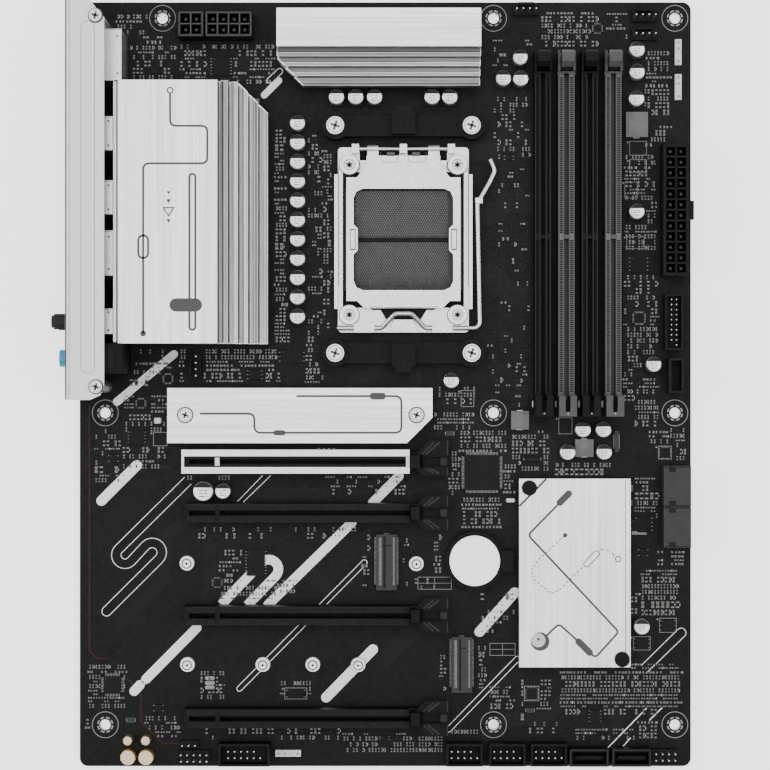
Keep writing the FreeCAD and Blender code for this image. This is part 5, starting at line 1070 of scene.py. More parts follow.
# The finishes of the two lips on each step, counted in the order make_fins is given them: lit,
# shaded and half-shaded copies that paint shade on the lips.
FIN_SHADES = ((2, 3), (3, 0), (3, 0), (0, 2), (0, 3))
# Grey for the flange's pressed pill and the lip's inner line: painted shade.
PRESSED_LINE_SHADE = print_ink("pressed_line_shade", grey(0.4), 0.1)
PALE = print_ink("engraved_pale", grey(0.7), 0.06)

make_left_sink_marks()
make_drive_sink_marks()
make_chipset_marks()
make_flange_marks()
make_connector_covers()
make_fins(
    "left_sink_fins", "left_power_heatsink", 0, (SINK_Y, GROOVE_SHADE, SHADE_Y, HALF_SHADE_Y),
    (5, 40.4), 16.0, 11.3, ((0.25, 0.62, 1.5), (0.66, 0.97, 0.7)), (0.3, 0.5),
)
make_fins(
    "top_sink_fins", "top_power_heatsink", 1, (SINK_X, GROOVE_SHADE, SHADE_X, HALF_SHADE_X),
    (4, 15.3), 15.0, 9.9, ((0.2, 0.6, 1.3), (0.66, 0.97, 0.6)), (0.28, 0.45),
)
make_screw_recess_shade()

# ----------------------------------------
# Capacitors, chokes and chips
# ----------------------------------------

def segment(across, down, radius, level):
    """Outline of the part of a disc beyond a straight line, on the side of the board's top."""
    half = math.degrees(math.acos(level))
    return ring_points(across, down, radius, 14, -90.0 - half, 2 * half)


def make_capacitors():
    """Rolled cans on moulded bases, with a dark polarity segment and short printed bars."""
    cans = Pile(CAN, HEADER, CAP_MARK, SOLDER, MARK_CAN)
    for low, high, across, down in placed("capacitors"):
        r, top = (high[0] - low[0]) / 2, high[2]
        cut = ((-1, -0.55), (-0.55, -1), (0.55, -1), (1, -0.55), (1, 1), (-1, 1))
        cans.prism([(across + r * x, down + r * y) for x, y in cut], 0.1, 0.9, 1, 0.12)
        for side in (-1, 1):
            cans.box(across, down + side * r * 0.86, 0.0, 0.8, 0.28 * r, 0.12, 3)
        cans.lathe(across, down, [
            (r * 0.9, 0.9), (r * 0.99, 1.1), (r * 0.99, 1.9), (r * 0.93, 2.2), (r * 0.93, 2.5),
            (r * 0.99, 2.8), (r * 0.99, top - 0.45), (r * 0.95, top - 0.15), (r * 0.86, top),
            (r * 0.8, top - 0.08),
        ], 0, 28)
        cans.prism(segment(across, down, r * 0.94, 0.42), top - 0.09, top + 0.02, 2)
        for row in (-0.12, 0.18, 0.48):
            cans.box(across, down + row * r, top - 0.08, r * 0.8, r * 0.14, 0.03, 4)
            aside = across + row * r * 0.5
            cans.box(aside, down + row * r, top - 0.08, r * 0.12, r * 0.16, 0.05, 0)
    cans.make("capacitor_cans", replaces=["capacitors"])


def make_audio_capacitors():
    """Sleeved audio cans with cream tops."""
    cans = Pile(BRASS, CREAM, HEADER)
    for low, high, across, down in placed("audio_capacitors"):
        r, top = (high[0] - low[0]) / 2, high[2]
        cans.lathe(across, down, [(r * 0.97, 0.0), (r * 0.97, 0.5)], 2)
        cans.lathe(across, down, [
            (r * 0.97, 0.5), (r * 0.99, 0.7), (r * 0.99, 1.2), (r * 0.93, 1.5), (r * 0.99, 1.8),
            (r * 0.99, top - 0.35), (r * 0.9, top), (r * 0.8, top), (r * 0.78, top - 0.12),
        ], 0, 28)
        lid = [(r * 0.78, top - 0.2), (r * 0.78, top - 0.08), (r * 0.7, top - 0.05)]
        cans.lathe(across, down, lid, 1)
    cans.make("audio_capacitor_cans", replaces=["audio_capacitors"])


def make_choke_details():
    """Terminal clips and a shallow raised panel on each choke."""
    clips = Pile(SOLDER, CHOKE_LIGHT)
    for low, high, across, down in placed("chokes"):
        wide, deep = size_of(low, high)
        clips.box(across, down, high[2], wide - 1.3, deep - 1.3, 0.16, 1, 0.35)
        for side in (-1, 1):
            clips.box(across, down + side * (deep / 2 + 0.1), 0.0, 2.4, 0.2, 1.2, 0, 0.05)
    clips.make("choke_details")


def lead_row(pile, start, end, count, outward, length=0.9, width=0.22):
    """Gull-wing leads spaced evenly from start to end, reaching outward over the board."""
    a, b = Vector(start), Vector(end)
    out = Vector(outward)
    ways = abs(out.x), abs(out.y)
    for index in range(count):
        foot = a.lerp(b, index / max(count - 1, 1))
        tread = (foot + out * length * 0.35 + (foot + out * length)) / 2
        riser = foot + out * length * 0.18
        for place, share, up, tall in ((tread, 0.7, 0.0, 0.13), (riser, 0.4, 0.1, 0.42)):
            wide = ways[1] * width + ways[0] * length * share
            deep = ways[0] * width + ways[1] * length * share
            pile.box(place.x, place.y, up, wide, deep, tall)


def make_chip_leads():
    """Leads and pin-one dimples of the larger chips."""
    leads = Pile(LEAD, DIMPLE)
    for low, high in islands("board_chips"):
        wide, deep = size_of(low, high)
        dimple = low[0] + wide * 0.14, low[1] + deep * 0.14
        leads.ring(*dimple, high[2], 0.34, 0.2, 0.015, 1, 14)
        if wide > 20:
            leads.stroke(rim_of(low, high, 1.0), 0.3, high[2], 0.02, 1, closed=True)
            continue
        quad = wide > 12 or (low[1] > 265 and wide > 6)
        count = int((deep - 1.6) / (0.5 if quad else 1.0))
        reach = 1.1 if quad else 0.6
        across, down = middle_of(low, high)
        for side in (-1, 1):
            edge = across + side * wide / 2
            ends = (edge, low[1] + 0.8), (edge, high[1] - 0.8)
            lead_row(leads, *ends, count, (side, 0), reach)
            if quad:
                edge = down + side * deep / 2
                ends = (low[0] + 0.8, edge), (high[0] - 0.8, edge)
                lead_row(leads, *ends, count, (0, side), reach)
    leads.make("chip_leads")


# ----------------------------------------
# Memory and expansion slots
# ----------------------------------------

def make_memory_rungs():
    """Contact windows along both rails of each memory slot, and the marks on its end tower; the
    windows and each rail's outer line are near-black, painted shade of the openings and edges.
    """
    for node, rim, strip in (
        ("memory_slots_black", RIM_BLACK, BLACK), ("memory_slots_grey", RIM_GREY, STRIP_GREY),
    ):
        rungs = Pile(WINDOW_SHADE, CONTACT, PALE, rim, strip)
        for low, high in islands(node):
            across = (low[0] + high[0]) / 2
            start, end = low[1] + 9.6, high[1] - 9.0
            # The outer line of each rail is near-black: painted shade of its edge.
            lines = ((3.38, 0.3, 0), (2.9, 0.3, 3), (1.25, 0.3, 3), (MEMORY_ROW, 1.3, 4))
            for side in (-1, 1):
                for offset, width, kind in lines:
                    edge = across + side * offset
                    rungs.stroke([(edge, start), (edge, end)], width, MEMORY_TOP, 0.04, kind)
            down = low[1] + 10.6
            while down < high[1] - 9.2:
                if abs(down - MEMORY_KEY) > 1.2:
                    for side in (-1, 1):
                        window = across + side * MEMORY_ROW
                        # Near-black window on the rail: painted shade of the opening.
                        rungs.box(window, down, MEMORY_TOP, 1.2, 0.52, 0.07)
                        groove = across + side * 0.86
                        rungs.box(groove, down, MEMORY_TOP - 3.4, 0.14, 0.36, 2.2, 1)
                down += 0.85
            tower = pill_points((across, high[1] - 5.6), (across, high[1] - 2.6), 0.9)
            rungs.prism(tower, high[2], high[2] + 0.04)
            rungs.disc(across, high[1] - 1.2, high[2], 0.26, 0.05, 2)
        rungs.make(f"{node}_windows")


def make_latch_grips():
    """Finger ribs on the memory latches."""
    for index in range(1, 5):
        low, high = span(f"memory_latch_{index}")
        grip = Pile(MID_GREY if index % 2 == 0 else BLACK)
        across, _ = middle_of(low, high)
        for step in range(3):
            place = low[1] + 1.0 + step * 1.1
            grip.box(across, place, high[2] - 0.02, 4.0, 0.45, 0.16, 0, 0.08)
        grip.make(f"memory_latch_{index}_ribs", body=f"memory_latch_{index}")


def make_expansion_ribs():
    """Moulded ribs along each expansion slot's shoulders and the contacts in its groove."""
    ribs = Pile(RIB, CONTACT, WHITE)
    _, clad_high = span("slot_cladding")
    for low, high in islands("expansion_slots"):
        down, top = (low[1] + high[1]) / 2, high[2]
        clad = abs(down - CLAD_ROW) < 1
        across = low[0] + 1.6
        while across < low[0] + 87.6:
            if abs(across - low[0] - 13.1) > 1.4:
                for side in (-1, 1):
                    if clad:
                        ribs.box(across, down + side * 1.36, top - 0.3, 0.5, 0.5, 0.34)
                    else:
                        ribs.box(across, down + side * 2.35, top, 0.42, 2.0, 0.07)
                    ribs.box(across, down + side * 0.93, top - 4.6, 0.4, 0.12, 3.0, 1)
            across += 1.0
        if clad:
            for across, wide, deep in ((low[0] + 13.1, 1.8, 3.2), (clad_high[0] - 0.7, 1.4, 4.5)):
                ribs.box(across, down, top - 0.1, wide, deep, clad_high[2] - top + 0.1, 2)
        else:
            for edge in (down - 3.5, down + 3.5):
                ribs.stroke([(low[0] + 0.5, edge), (low[0] + 88.5, edge)], 0.25, top, 0.09)
    ribs.make("expansion_slot_ribs")


def make_latch_facets():
    """Raised facets and channel edges of the expansion latches' paddles."""
    for index, base in enumerate(islands("expansion_slots"), 1):
        low, high = span(f"expansion_latch_{index}")
        _, row = middle_of(*base)
        end = high[0]
        facets = Pile(FACET, RUNG_LIGHT)
        for side, edge in ((-1, low[1]), (1, high[1])):
            reach = abs(edge - row)
            for first, near, last, far, width, tall in (
                (4.4 + reach * 0.55, 2.7, 3.6, 0.8, 0.7, 0.16),
                (6.4 + reach * 0.5, 2.7, 5.8, 0.8, 0.5, 0.1), (0.4, 2.6, 0.4, 0.2, 0.5, 0.2),
            ):
                start = end - first, row + side * near
                finish = end - last, row + side * (reach - far)
                facets.stroke([start, finish], width, PADDLE_TOP, tall)
        facets.box(end - 1.9, row, PADDLE_TOP - 0.3, 2.8, 3.2, 0.5, 1, 0.2)
        facets.make(f"expansion_latch_{index}_facets", body=f"expansion_latch_{index}")


MEMORY_TOP = 7.6
MEMORY_ROW = 2.08
MEMORY_KEY = 93.9
CLAD_ROW = 182.9
PADDLE_TOP = 9.4
CONTACT = metal("slot_contact", (0.05, 0.034, 0.014), (0.09, 0.06, 0.026), (0.4, 0.55), scale=4.0)
CAP_MARK = print_ink("can_mark", grey(0.012), 0.2)
MARK_CAN = print_ink("can_print", grey(0.34), 0.2)
CREAM = moulded("can_sleeve_top", (0.72, 0.62, 0.46), (0.84, 0.74, 0.58), (0.4, 0.55), 4.0, 0.006)
CHOKE_LIGHT = moulded("choke_top", grey(0.11, 0.01), grey(0.15, 0.01), (0.5, 0.65), 4.0, 0.03)
LEAD = metal("lead_tin", 0.14, 0.26, (0.35, 0.5), scale=2.0)
DIMPLE = moulded("resin_dimple", 0.035, 0.05, (0.4, 0.55), Specular_IOR_Level=0.3)
RUNG_LIGHT = moulded(
    "window_black", 0.014, 0.022, (0.45, 0.6), Specular_IOR_Level=0.2,
)
# Near-black for the memory slots' contact windows and rail edges: painted shade.
WINDOW_SHADE = moulded("contact_window_shade", 0.0014, 0.0024, (0.6, 0.75), Specular_IOR_Level=0.05)
RIM_BLACK = moulded(
    "rail_rim_black", 0.016, 0.022, (0.45, 0.6), Specular_IOR_Level=0.2,
)
RIM_GREY = moulded("rail_rim_grey", 0.055, 0.068, (0.42, 0.56))
STRIP_GREY = moulded("rail_strip_grey", 0.085, 0.105, (0.42, 0.56))
RIB = moulded("slot_rib", 0.007, 0.011, (0.45, 0.6), Specular_IOR_Level=0.2)
FACET = moulded("latch_facet", 0.02, 0.03, (0.4, 0.55), Specular_IOR_Level=0.2)

make_capacitors()
make_audio_capacitors()
make_choke_details()
make_chip_leads()
make_memory_rungs()
make_latch_grips()
make_expansion_ribs()
make_latch_facets()

# ----------------------------------------
# Headers, drive connectors, storage ports and the battery
# ----------------------------------------

PITCH = 2.54
PIN_SIDE = 0.64
DRIVE_PITCH = 0.5
STORAGE_PITCH = 1.27
COLLAR_LINES = (0.6, 5.1, 9.6)
COLLAR_WIDTH = 0.45


def pin_grid(pile, place, columns, rows, low, high, pitch=PITCH, side=PIN_SIDE, missing=None):
    """Square pins with pointed tips, centred on a place."""
    for column in range(columns):
        for row in range(rows):
            if (column, row) == missing:
                continue
            a = place[0] + (column - (columns - 1) / 2) * pitch
            d = place[1] + (row - (rows - 1) / 2) * pitch
            pile.box(a, d, low, side, side, high - low, 0, side * 0.22)


def make_header_pins():
    """Pins of the case headers, fan headers, strips and light headers."""
    pins = Pile(SOLDER, HEADER, WHITE, PALE)
    for low, high in islands("case_headers"):
        place = middle_of(low, high)
        wide, deep = size_of(low, high)
        if deep > wide:
            pin_grid(pins, place, 2, 10, 1.2, 7.6, 2.0, 0.5, (0, 9))
        else:
            columns = 5 if wide < 18 else 6
            pin_grid(pins, place, columns, 2, 1.2, 7.6, missing=(columns - 1, 0))
        pins.stroke(rim_of(low, high, 0.4), 0.3, high[2], 0.12, 1, closed=True)
    for low, high, across, down in placed("open_header_bases"):
        wide, deep = size_of(low, high)
        if high[2] > 5:
            if deep > 2 * wide:
                pin_grid(pins, (across + 0.6, down), 1, 4, 0.8, 10.6)
            else:
                pin_grid(pins, (across, down + 0.6), 4, 1, 0.8, 10.6)
        else:
            columns = max(1, round(wide / PITCH))
            rows = max(1, round(deep / PITCH))
            pin_grid(pins, (across, down), columns, rows, 2.0, 8.6)
            for column in range(1, columns):
                edge = low[0] + column * wide / columns
                for side in (low[1] + 0.25, high[1] - 0.25):
                    pins.box(edge, side, high[2] - 0.02, 0.5, 0.5, 0.06, 1)
    for low, high, across, down in placed("light_header_bases"):
        wide, deep = size_of(low, high)
        for index in range(4):
            shift = (index - 1.5) * PITCH
            a, d = (across, down + shift) if deep > wide else (across + shift, down)
            pins.ring(a, d, high[2], 1.22, 0.62, 0.35, 2, 20)
            pins.ring(a, d, high[2], 0.62, 0.42, 0.1, 3, 16)
            if index != 2:
                pins.box(a, d, high[2], 0.6, 0.6, 5.9, 0, 0.14)
    pins.make("header_pins")


def make_power_details():
    """Grids of cell collars on the power connectors."""
    trim = Pile(COLLAR, HEADER)
    for node in ("power_cpu_pair", "power_main"):
        for low, high in islands(node):
            wide, deep = size_of(low, high)
            if deep > 2 * wide:
                rows = [low[1] + 1.0 + step * (deep - 2.0) / 12 for step in range(13)]
                lines = [[(low[0] + 0.6, down), (low[0] + 9.6, down)] for down in rows]
                columns = [low[0] + shift for shift in COLLAR_LINES]
                lines += [[(edge, low[1] + 0.6), (edge, high[1] - 0.6)] for edge in columns]
            else:
                count = round(wide / 4.3)
                edges = [low[0] + 0.5 + step * (wide - 1.0) / count for step in range(count + 1)]
                lines = [[(edge, high[1] - 9.6), (edge, high[1] - 0.6)] for edge in edges]
                rows = [high[1] - shift for shift in COLLAR_LINES]
                lines += [[(low[0] + 0.5, down), (high[0] - 0.5, down)] for down in rows]
            for line in lines:
                trim.stroke(line, COLLAR_WIDTH, high[2], 0.1, 1 if deep > 2 * wide else 0)
    trim.make("power_connector_collars")


def make_drive_connector_details():
    """Contact feet on both sides of the drive connectors and a darker seam on their tops."""
    trim = Pile(LEAD, HEADER)
    for low, high in islands("drive_connectors"):
        across, _ = middle_of(low, high)
        top = high[2]
        for index in range(int((high[1] - low[1] - 3) / DRIVE_PITCH)):
            place = low[1] + 1.5 + index * DRIVE_PITCH
            for edge, up, wide, deep, tall in (
                (low[0] - 0.35, 0.0, 0.8, 0.24, 0.14), (high[0] + 0.3, 0.0, 0.7, 0.24, 0.14),
                (low[0] + 1.6, top, 1.1, 0.26, 0.05), (high[0] - 1.2, top, 0.7, 0.26, 0.05),
            ):
                trim.box(edge, place, up, wide, deep, tall)
        seam = across - 0.8
        trim.stroke([(seam, low[1] + 0.8), (seam, high[1] - 0.8)], 0.9, top, 0.08, 1)
        trim.box(across, low[1] + 4.4, top, 3.6, 0.5, 0.09, 1)
        for end in (low[1] + 0.5, high[1] - 0.5):
            trim.box(across, end, 0.0, 2.4, 1.4, 0.3)
    trim.make("drive_connector_contacts")


def make_storage_details():
    """Contact blades and rims of the storage ports."""
    trim = Pile(DIM_GREY, CONTACT, HEADER)
    for low, high, across, down in placed("sata_upright_pair"):
        trim.stroke(rim_of(low, high, 0.4), 0.28, high[2], 0.08, 0, closed=True)
        for step in range(7):
            trim.box(across - 3.8 + step * STORAGE_PITCH, down - 0.75, 2.0, 0.45, 0.16, 4.6, 1)
    for low, high in islands("sata_side_pair"):
        _, down = middle_of(low, high)
        top = high[2]
        for side in (-1, 1):
            edge = down + side * 7.6
            trim.stroke([(low[0] + 0.4, edge), (high[0] - 0.4, edge)], 0.3, top, 0.05, 2)
            trim.box(low[0] + 3.4, down + side * 6.6, top, 2.6, 1.6, 0.1, 2)
    trim.make("storage_port_details")


def make_battery_details():
    """Rolled rim of the cell, and its sprung clip."""
    low, high = span("coin_battery")
    across, down = middle_of(low, high)
    cell = Pile(CELL)
    cell.ring(across, down, high[2], 9.6, 9.2, 0.05, 0, 48)
    cell.make("cell_rim", body="battery")
    clip = Pile(NICKEL)
    for side in (-1, 1):
        clip.box(high[0] + 2.4, down + side * 2.4, 1.2, 2.0, 1.7, 3.0, 0, 0.3)
    clip.box(low[0] - 0.9, down, 0.6, 0.5, 5.0, 3.1, 0, 0.1)
    clip.make("battery_clip_contacts")


def make_post_rings():
    """Turned collars of the standoffs and their solder lands."""
    rings = Pile(SCREW, LEAD, GREY)
    for _, high, across, down in placed("threaded_posts"):
        if high[2] < 4:
            rings.ring(across, down, 0.0, 3.0, 2.75, 0.05, 1)
            rings.ring(across, down, high[2], 2.0, 1.5, 0.04, 2, 24)
            rings.ring(across, down, high[2], 1.5, 0.5, 0.1, 0, 24)
    rings.make("standoff_collars")


def axis_of(low, high):
    """The (down, up) middle of a form along the across direction, and half its size."""
    return (low[1] + high[1]) / 2, (low[2] + high[2]) / 2, (high[1] - low[1]) / 2


def make_jacks():
    """Audio jack rims in three colours, and the antenna sockets' threads."""
    rims = Pile(CYAN, LIME, PINK)
    jacks = sorted(islands("audio_jack_rings"), key=lambda box: -box[0][2])
    for kind, (low, high) in enumerate(jacks):
        down, up, outer = axis_of(low, high)
        rims.tube(down, up, low[0], high[0], outer, 1.85, kind)
        rims.tube(down, up, low[0] - 0.12, low[0] + 0.1, outer - 0.5, 2.3, kind)
    rims.make("audio_jack_rims", replaces=["audio_jack_rings"])
    threads = Pile(GOLD, SCREW)
    for low, high in islands("antenna_sockets"):
        down, up, outer = axis_of(low, high)
        across = low[0] + 0.5
        while across < high[0] - 1.6:
            threads.tube(down, up, across, across + 0.22, outer + 0.06, outer - 0.2)
            across += 0.5
        threads.tube(down, up, high[0] - 1.2, high[0] - 0.3, outer + 0.9, outer - 0.1, 1, 6)
    threads.make("antenna_threads")


def make_port_contacts():
    """Contacts on the port tongues, the network port's mouth and its two lights."""
    ports = Pile(GOLD, LAMP_GREEN, LAMP_AMBER, HEADER)
    for low, high in islands("port_tongues"):
        deep = high[1] - low[1]
        count = 4 if high[2] - low[2] > 1 else 9
        for index in range(count):
            down = low[1] + deep * (index + 0.7) / (count + 0.4)
            ports.box(low[0] + 3.6, down, low[2] - 0.05, 5.6, deep / count * 0.45, 0.06)
    low, high = islands("network_stack")[0]
    _, middle = middle_of(low, high)
    for kind, down in ((1, low[1] + 3.4), (2, high[1] - 3.4)):
        ports.box(low[0] + 0.02, down, high[2] - 2.9, 0.24, 2.6, 1.5, kind, 0.02)
    ports.box(low[0] + 12.2, middle, 17.6, 0.3, 11.6, 8.2, 3)
    for side in (-1, 1):
        ports.box(low[0] + 7.0, middle + side * 5.62, 17.8, 11.0, 0.12, 7.8, 3)
    ports.box(low[0] + 7.0, middle, 17.72, 11.0, 11.0, 0.1, 3)
    for index in range(8):
        ports.box(low[0] + 5.0, middle - 3.6 + index * 1.02, 24.9, 7.0, 0.4, 0.3)
    ports.make("port_contacts")


def make_cap_ribs():
    """Grip ribs along the two antenna caps."""
    for body in ("cap_lower", "cap_upper"):
        low, high = span(f"antenna_{body}")
        down, up, outer = axis_of(low, high)
        ribs = Pile(RUBBER)
        for turn in range(0, 360, 20):
            d, u = ring_points(down, up, outer, 1, turn, 0)[0]
            section = rectangle(d, u, 0.32, 0.32)
            points = [(a, *corner) for a in (low[0] + 0.9, high[0] - 1.6) for corner in section]
            ribs.add(points, capped(2, 4))
        ribs.make(f"antenna_{body}_ribs", body=body)


COLLAR = moulded("connector_collar", 0.07, 0.095, (0.45, 0.6), Specular_IOR_Level=0.2)
LAMP_GREEN = moulded("lamp_green", (0.1, 0.3, 0.08), (0.14, 0.38, 0.1), (0.2, 0.3))
LAMP_AMBER = moulded("lamp_amber", (0.5, 0.26, 0.04), (0.6, 0.32, 0.06), (0.2, 0.3))

make_header_pins()
make_power_details()
make_drive_connector_details()
make_storage_details()
make_battery_details()
make_post_rings()
make_jacks()
make_port_contacts()
make_cap_ribs()

# ----------------------------------------
# Small surface-mounted parts
# ----------------------------------------

SEED = 41
VIA_TRIES = 1500
UPRIGHT_SHARE = 0.55
TICK_SHARE = 0.16
EDGE_MARGIN = 1.2
HOLE_MARGIN = 5.6
LEAD_REACH = 0.9
UNDER_HEATSINKS = 9.5


def around(across, down, half_a, half_d, margin=0.0):
    """Area round a middle, as (low across, low down, high across, high down)."""
    return (
        across - half_a - margin, down - half_d - margin,
        across + half_a + margin, down + half_d + margin,
    )


class Ground:
    """Which part of the board's top face is still free, in small squares."""

    CELL = 0.4

    def __init__(self):
        self.wide = int(BOARD_ACROSS / self.CELL) + 1
        self.tall = int(BOARD_DOWN / self.CELL) + 1
        self.taken = bytearray(self.wide * self.tall)

    def cells(self, low_a, low_d, high_a, high_d):
        """Start and end of an area's run of squares in each row."""
        first, last = int(low_a / self.CELL), int(high_a / self.CELL)
        top, bottom = int(low_d / self.CELL), int(high_d / self.CELL)
        first, top = max(first, 0), max(top, 0)
        last, bottom = min(last, self.wide - 1), min(bottom, self.tall - 1)
        for row in range(top, bottom + 1):
            yield row * self.wide + first, row * self.wide + last + 1

    def block(self, *area):
        for start, end in self.cells(*area):
            self.taken[start:end] = b"\x01" * (end - start)

    def free(self, *area):
        low_a, low_d, high_a, high_d = area
        if min(low_a, low_d) < EDGE_MARGIN:
            return False
        if high_a > BOARD_ACROSS - EDGE_MARGIN or high_d > BOARD_DOWN - EDGE_MARGIN:
            return False
        return not any(any(self.taken[start:end]) for start, end in self.cells(*area))


def survey():
    """The ground with every part, hole and keep-out area taken."""
    ground = Ground()
    margins = {"chokes": (1.2, 1.2), "drive_connectors": (1.5, 1.0)}
    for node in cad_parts:
        if node in ("circuit_board", "socket_backplate", "cooler_brackets"):
            continue
        a, d = margins.get(node, (0.5, 0.5))
        for low, high in islands(node):
            if low[2] < UNDER_HEATSINKS and high[2] > 0.01:
                ground.block(low[0] - a, low[1] - d, high[0] + a, high[1] + d)
    for hole in HOLES:
        ground.block(*around(*hole, HOLE_MARGIN, HOLE_MARGIN))
    for down in (50.0, 140.0):
        ground.block(96.0, down - 8.0, 162.2, down + 8.0)
    return ground


SIZES = {"tiny": (1.0, 0.5, 0.35), "small": (1.6, 0.8, 0.45), "medium": (2.0, 1.25, 0.6)}
LAND, TAN, DARK = range(3)


def passive(pile, ground, across, down, size, upright, kind):
    """Chip resistor or capacitor on its two lands; kind None leaves the lands bare."""
    length, width, height = SIZES[size]
    reach, side = length / 2 + 0.28, width / 2 + 0.1
    area = around(across, down, *((side, reach) if upright else (reach, side)), 0.1)
    if not ground.free(*area):
        return False
    ground.block(*area)
    turn = 90 if upright else 0

    def part(shift, up, long, wide, tall, tone, inset):
        a, d = (across, down + shift) if upright else (across + shift, down)
        pile.box(a, d, up, long, wide, tall, tone, inset, turn)

    for end in (-1, 1):
        part(end * (length / 2 - 0.02), 0.0, 0.62, width + 0.1, 0.04, LAND, 0)
        if kind is not None:
            cap = end * (length / 2 - length * 0.11)
            part(cap, 0.03, length * 0.22, width, height, LAND, 0.03)
    if kind is not None:
        part(0, 0.04, length * 0.58, width * 0.97, height - 0.03, kind, 0.03)
    return True


def small_chip(pile, leads, ground, across, down, wide, deep, tall, pitch, four=False):
    """Moulded chip with gull-wing leads on two or four sides and a pin-one dimple."""
    ground.block(*around(across, down, wide / 2, deep / 2, LEAD_REACH))
    pile.box(across, down, 0.12, wide, deep, tall, 0, 0.12)
    dimple = across - wide / 2 + 0.6, down - deep / 2 + 0.6
    pile.ring(*dimple, tall + 0.12, 0.22, 0.1, 0.012, 1, 10)
    for side in (-1, 1):
        edge = across + side * wide / 2
        ends = (edge, down - deep / 2 + 0.4), (edge, down + deep / 2 - 0.4)
        lead_row(leads, *ends, max(2, int((deep - 0.5) / pitch)), (side, 0), 0.62, 0.26)
        if four:
            edge = down + side * deep / 2
            ends = (across - wide / 2 + 0.4, edge), (across + wide / 2 - 0.4, edge)
            lead_row(leads, *ends, max(2, int((wide - 0.5) / pitch)), (0, side), 0.62, 0.26)


CHIP_SPOTS = [
    (154.7, 158.1, 3.9, 5, False), (193.8, 169, 3.9, 5, False), (233.5, 179.7, 4, 4, True),
    (234.7, 248.6, 5, 4.4, False), (224.3, 255.8, 5, 4.2, False), (222.8, 58.2, 5, 4.4, True),
    (86.2, 275.8, 6.4, 3.4, False), (180.3, 275.8, 4.4, 4.4, True), (54.8, 231.5, 3, 3, True),
    (226.4, 150.6, 3, 3, True), (163.6, 141.4, 3, 4, False), (223.2, 126, 4, 4, True),
    (221.6, 90.2, 3.9, 5, False), (168.2, 30.8, 3, 3, True), (231.6, 165, 3.2, 2.6, False),
    (24.4, 160, 3, 3, True), (13.4, 182, 3, 3, False), (206.6, 10.4, 3, 3, True),
    (94.6, 146.4, 3, 2.2, False), (69.8, 148.6, 4.9, 3.9, False), (35.2, 150.2, 3, 3, True),
    (224.8, 219.6, 3, 3, False), (205.6, 284.8, 3.9, 4.9, False), (121.6, 293.6, 3, 1.8, False),
    (31.4, 281.6, 3, 3, False), (171.2, 62, 2.8, 2, False), (227.2, 30.6, 2.8, 2.2, False),
]


def make_small_chips(ground):
    """Small leaded chips, where their area is still free, and one power transistor."""
    bodies = Pile(RESIN, DIMPLE)
    leads = Pile(LAND_TIN)
    for across, down, wide, deep, four in CHIP_SPOTS:
        if ground.free(*around(across, down, wide / 2, deep / 2, LEAD_REACH)):
            pitch = 0.5 if four else 1.0
            small_chip(bodies, leads, ground, across, down, wide, deep, 0.95, pitch, four)
    small_chip(bodies, leads, ground, 223.2, 208.6, 6.4, 4.8, 1.4, 2.2)
    leads.box(223.2, 211.6, 0.0, 6.2, 1.7, 0.5, 0, 0.1)
    bodies.make("small_chips")
    leads.make("small_chip_leads")


def make_special_parts(ground):
    """Crystals, a status lamp, an inductor, test lands and other single parts."""
    tones = (HEADER, LAMP_GREEN, WHITE, DIM_GREY, LEAD)
    parts = Pile(*tones)
    header, lamp, white, dim, lead = range(len(tones))
    spots = [
        (214.2, 175.2, 1.9, 9.6, 1.8, dim, 0.5), (180.6, 182.3, 6.4, 1.6, 1.6, header, 0.3),
        (171.9, 198.7, 3.2, 1.6, 0.9, white, 0.2), (31.1, 166.9, 2.6, 2.4, 1.0, white, 0.2),
        (179.7, 282.5, 3.2, 2.1, 0.8, dim, 0.3), (147.6, 172.0, 3.2, 2.5, 0.8, dim, 0.3),
        (20.4, 286.4, 3.2, 2.5, 0.8, dim, 0.3), (212.2, 158.6, 2.0, 1.2, 0.6, lamp, 0.2),
    ]
    for across, down, wide, deep, tall, kind, inset in spots:
        parts.box(across, down, 0.06, wide, deep, tall, kind, inset)
        parts.box(across, down, 0.0, wide + 0.5, deep * 0.6, 0.07, lead)
        ground.block(*around(across, down, wide / 2, deep / 2, 0.4))
    low, _ = islands("memory_slots_black")[0]
    for step in range(4):
        across = low[0] + 0.4 + step * 9.2
        parts.prism(pill_points((across, 159.6), (across, 161.0), 0.8), 0.0, 0.05, white)
    parts.make("single_parts")


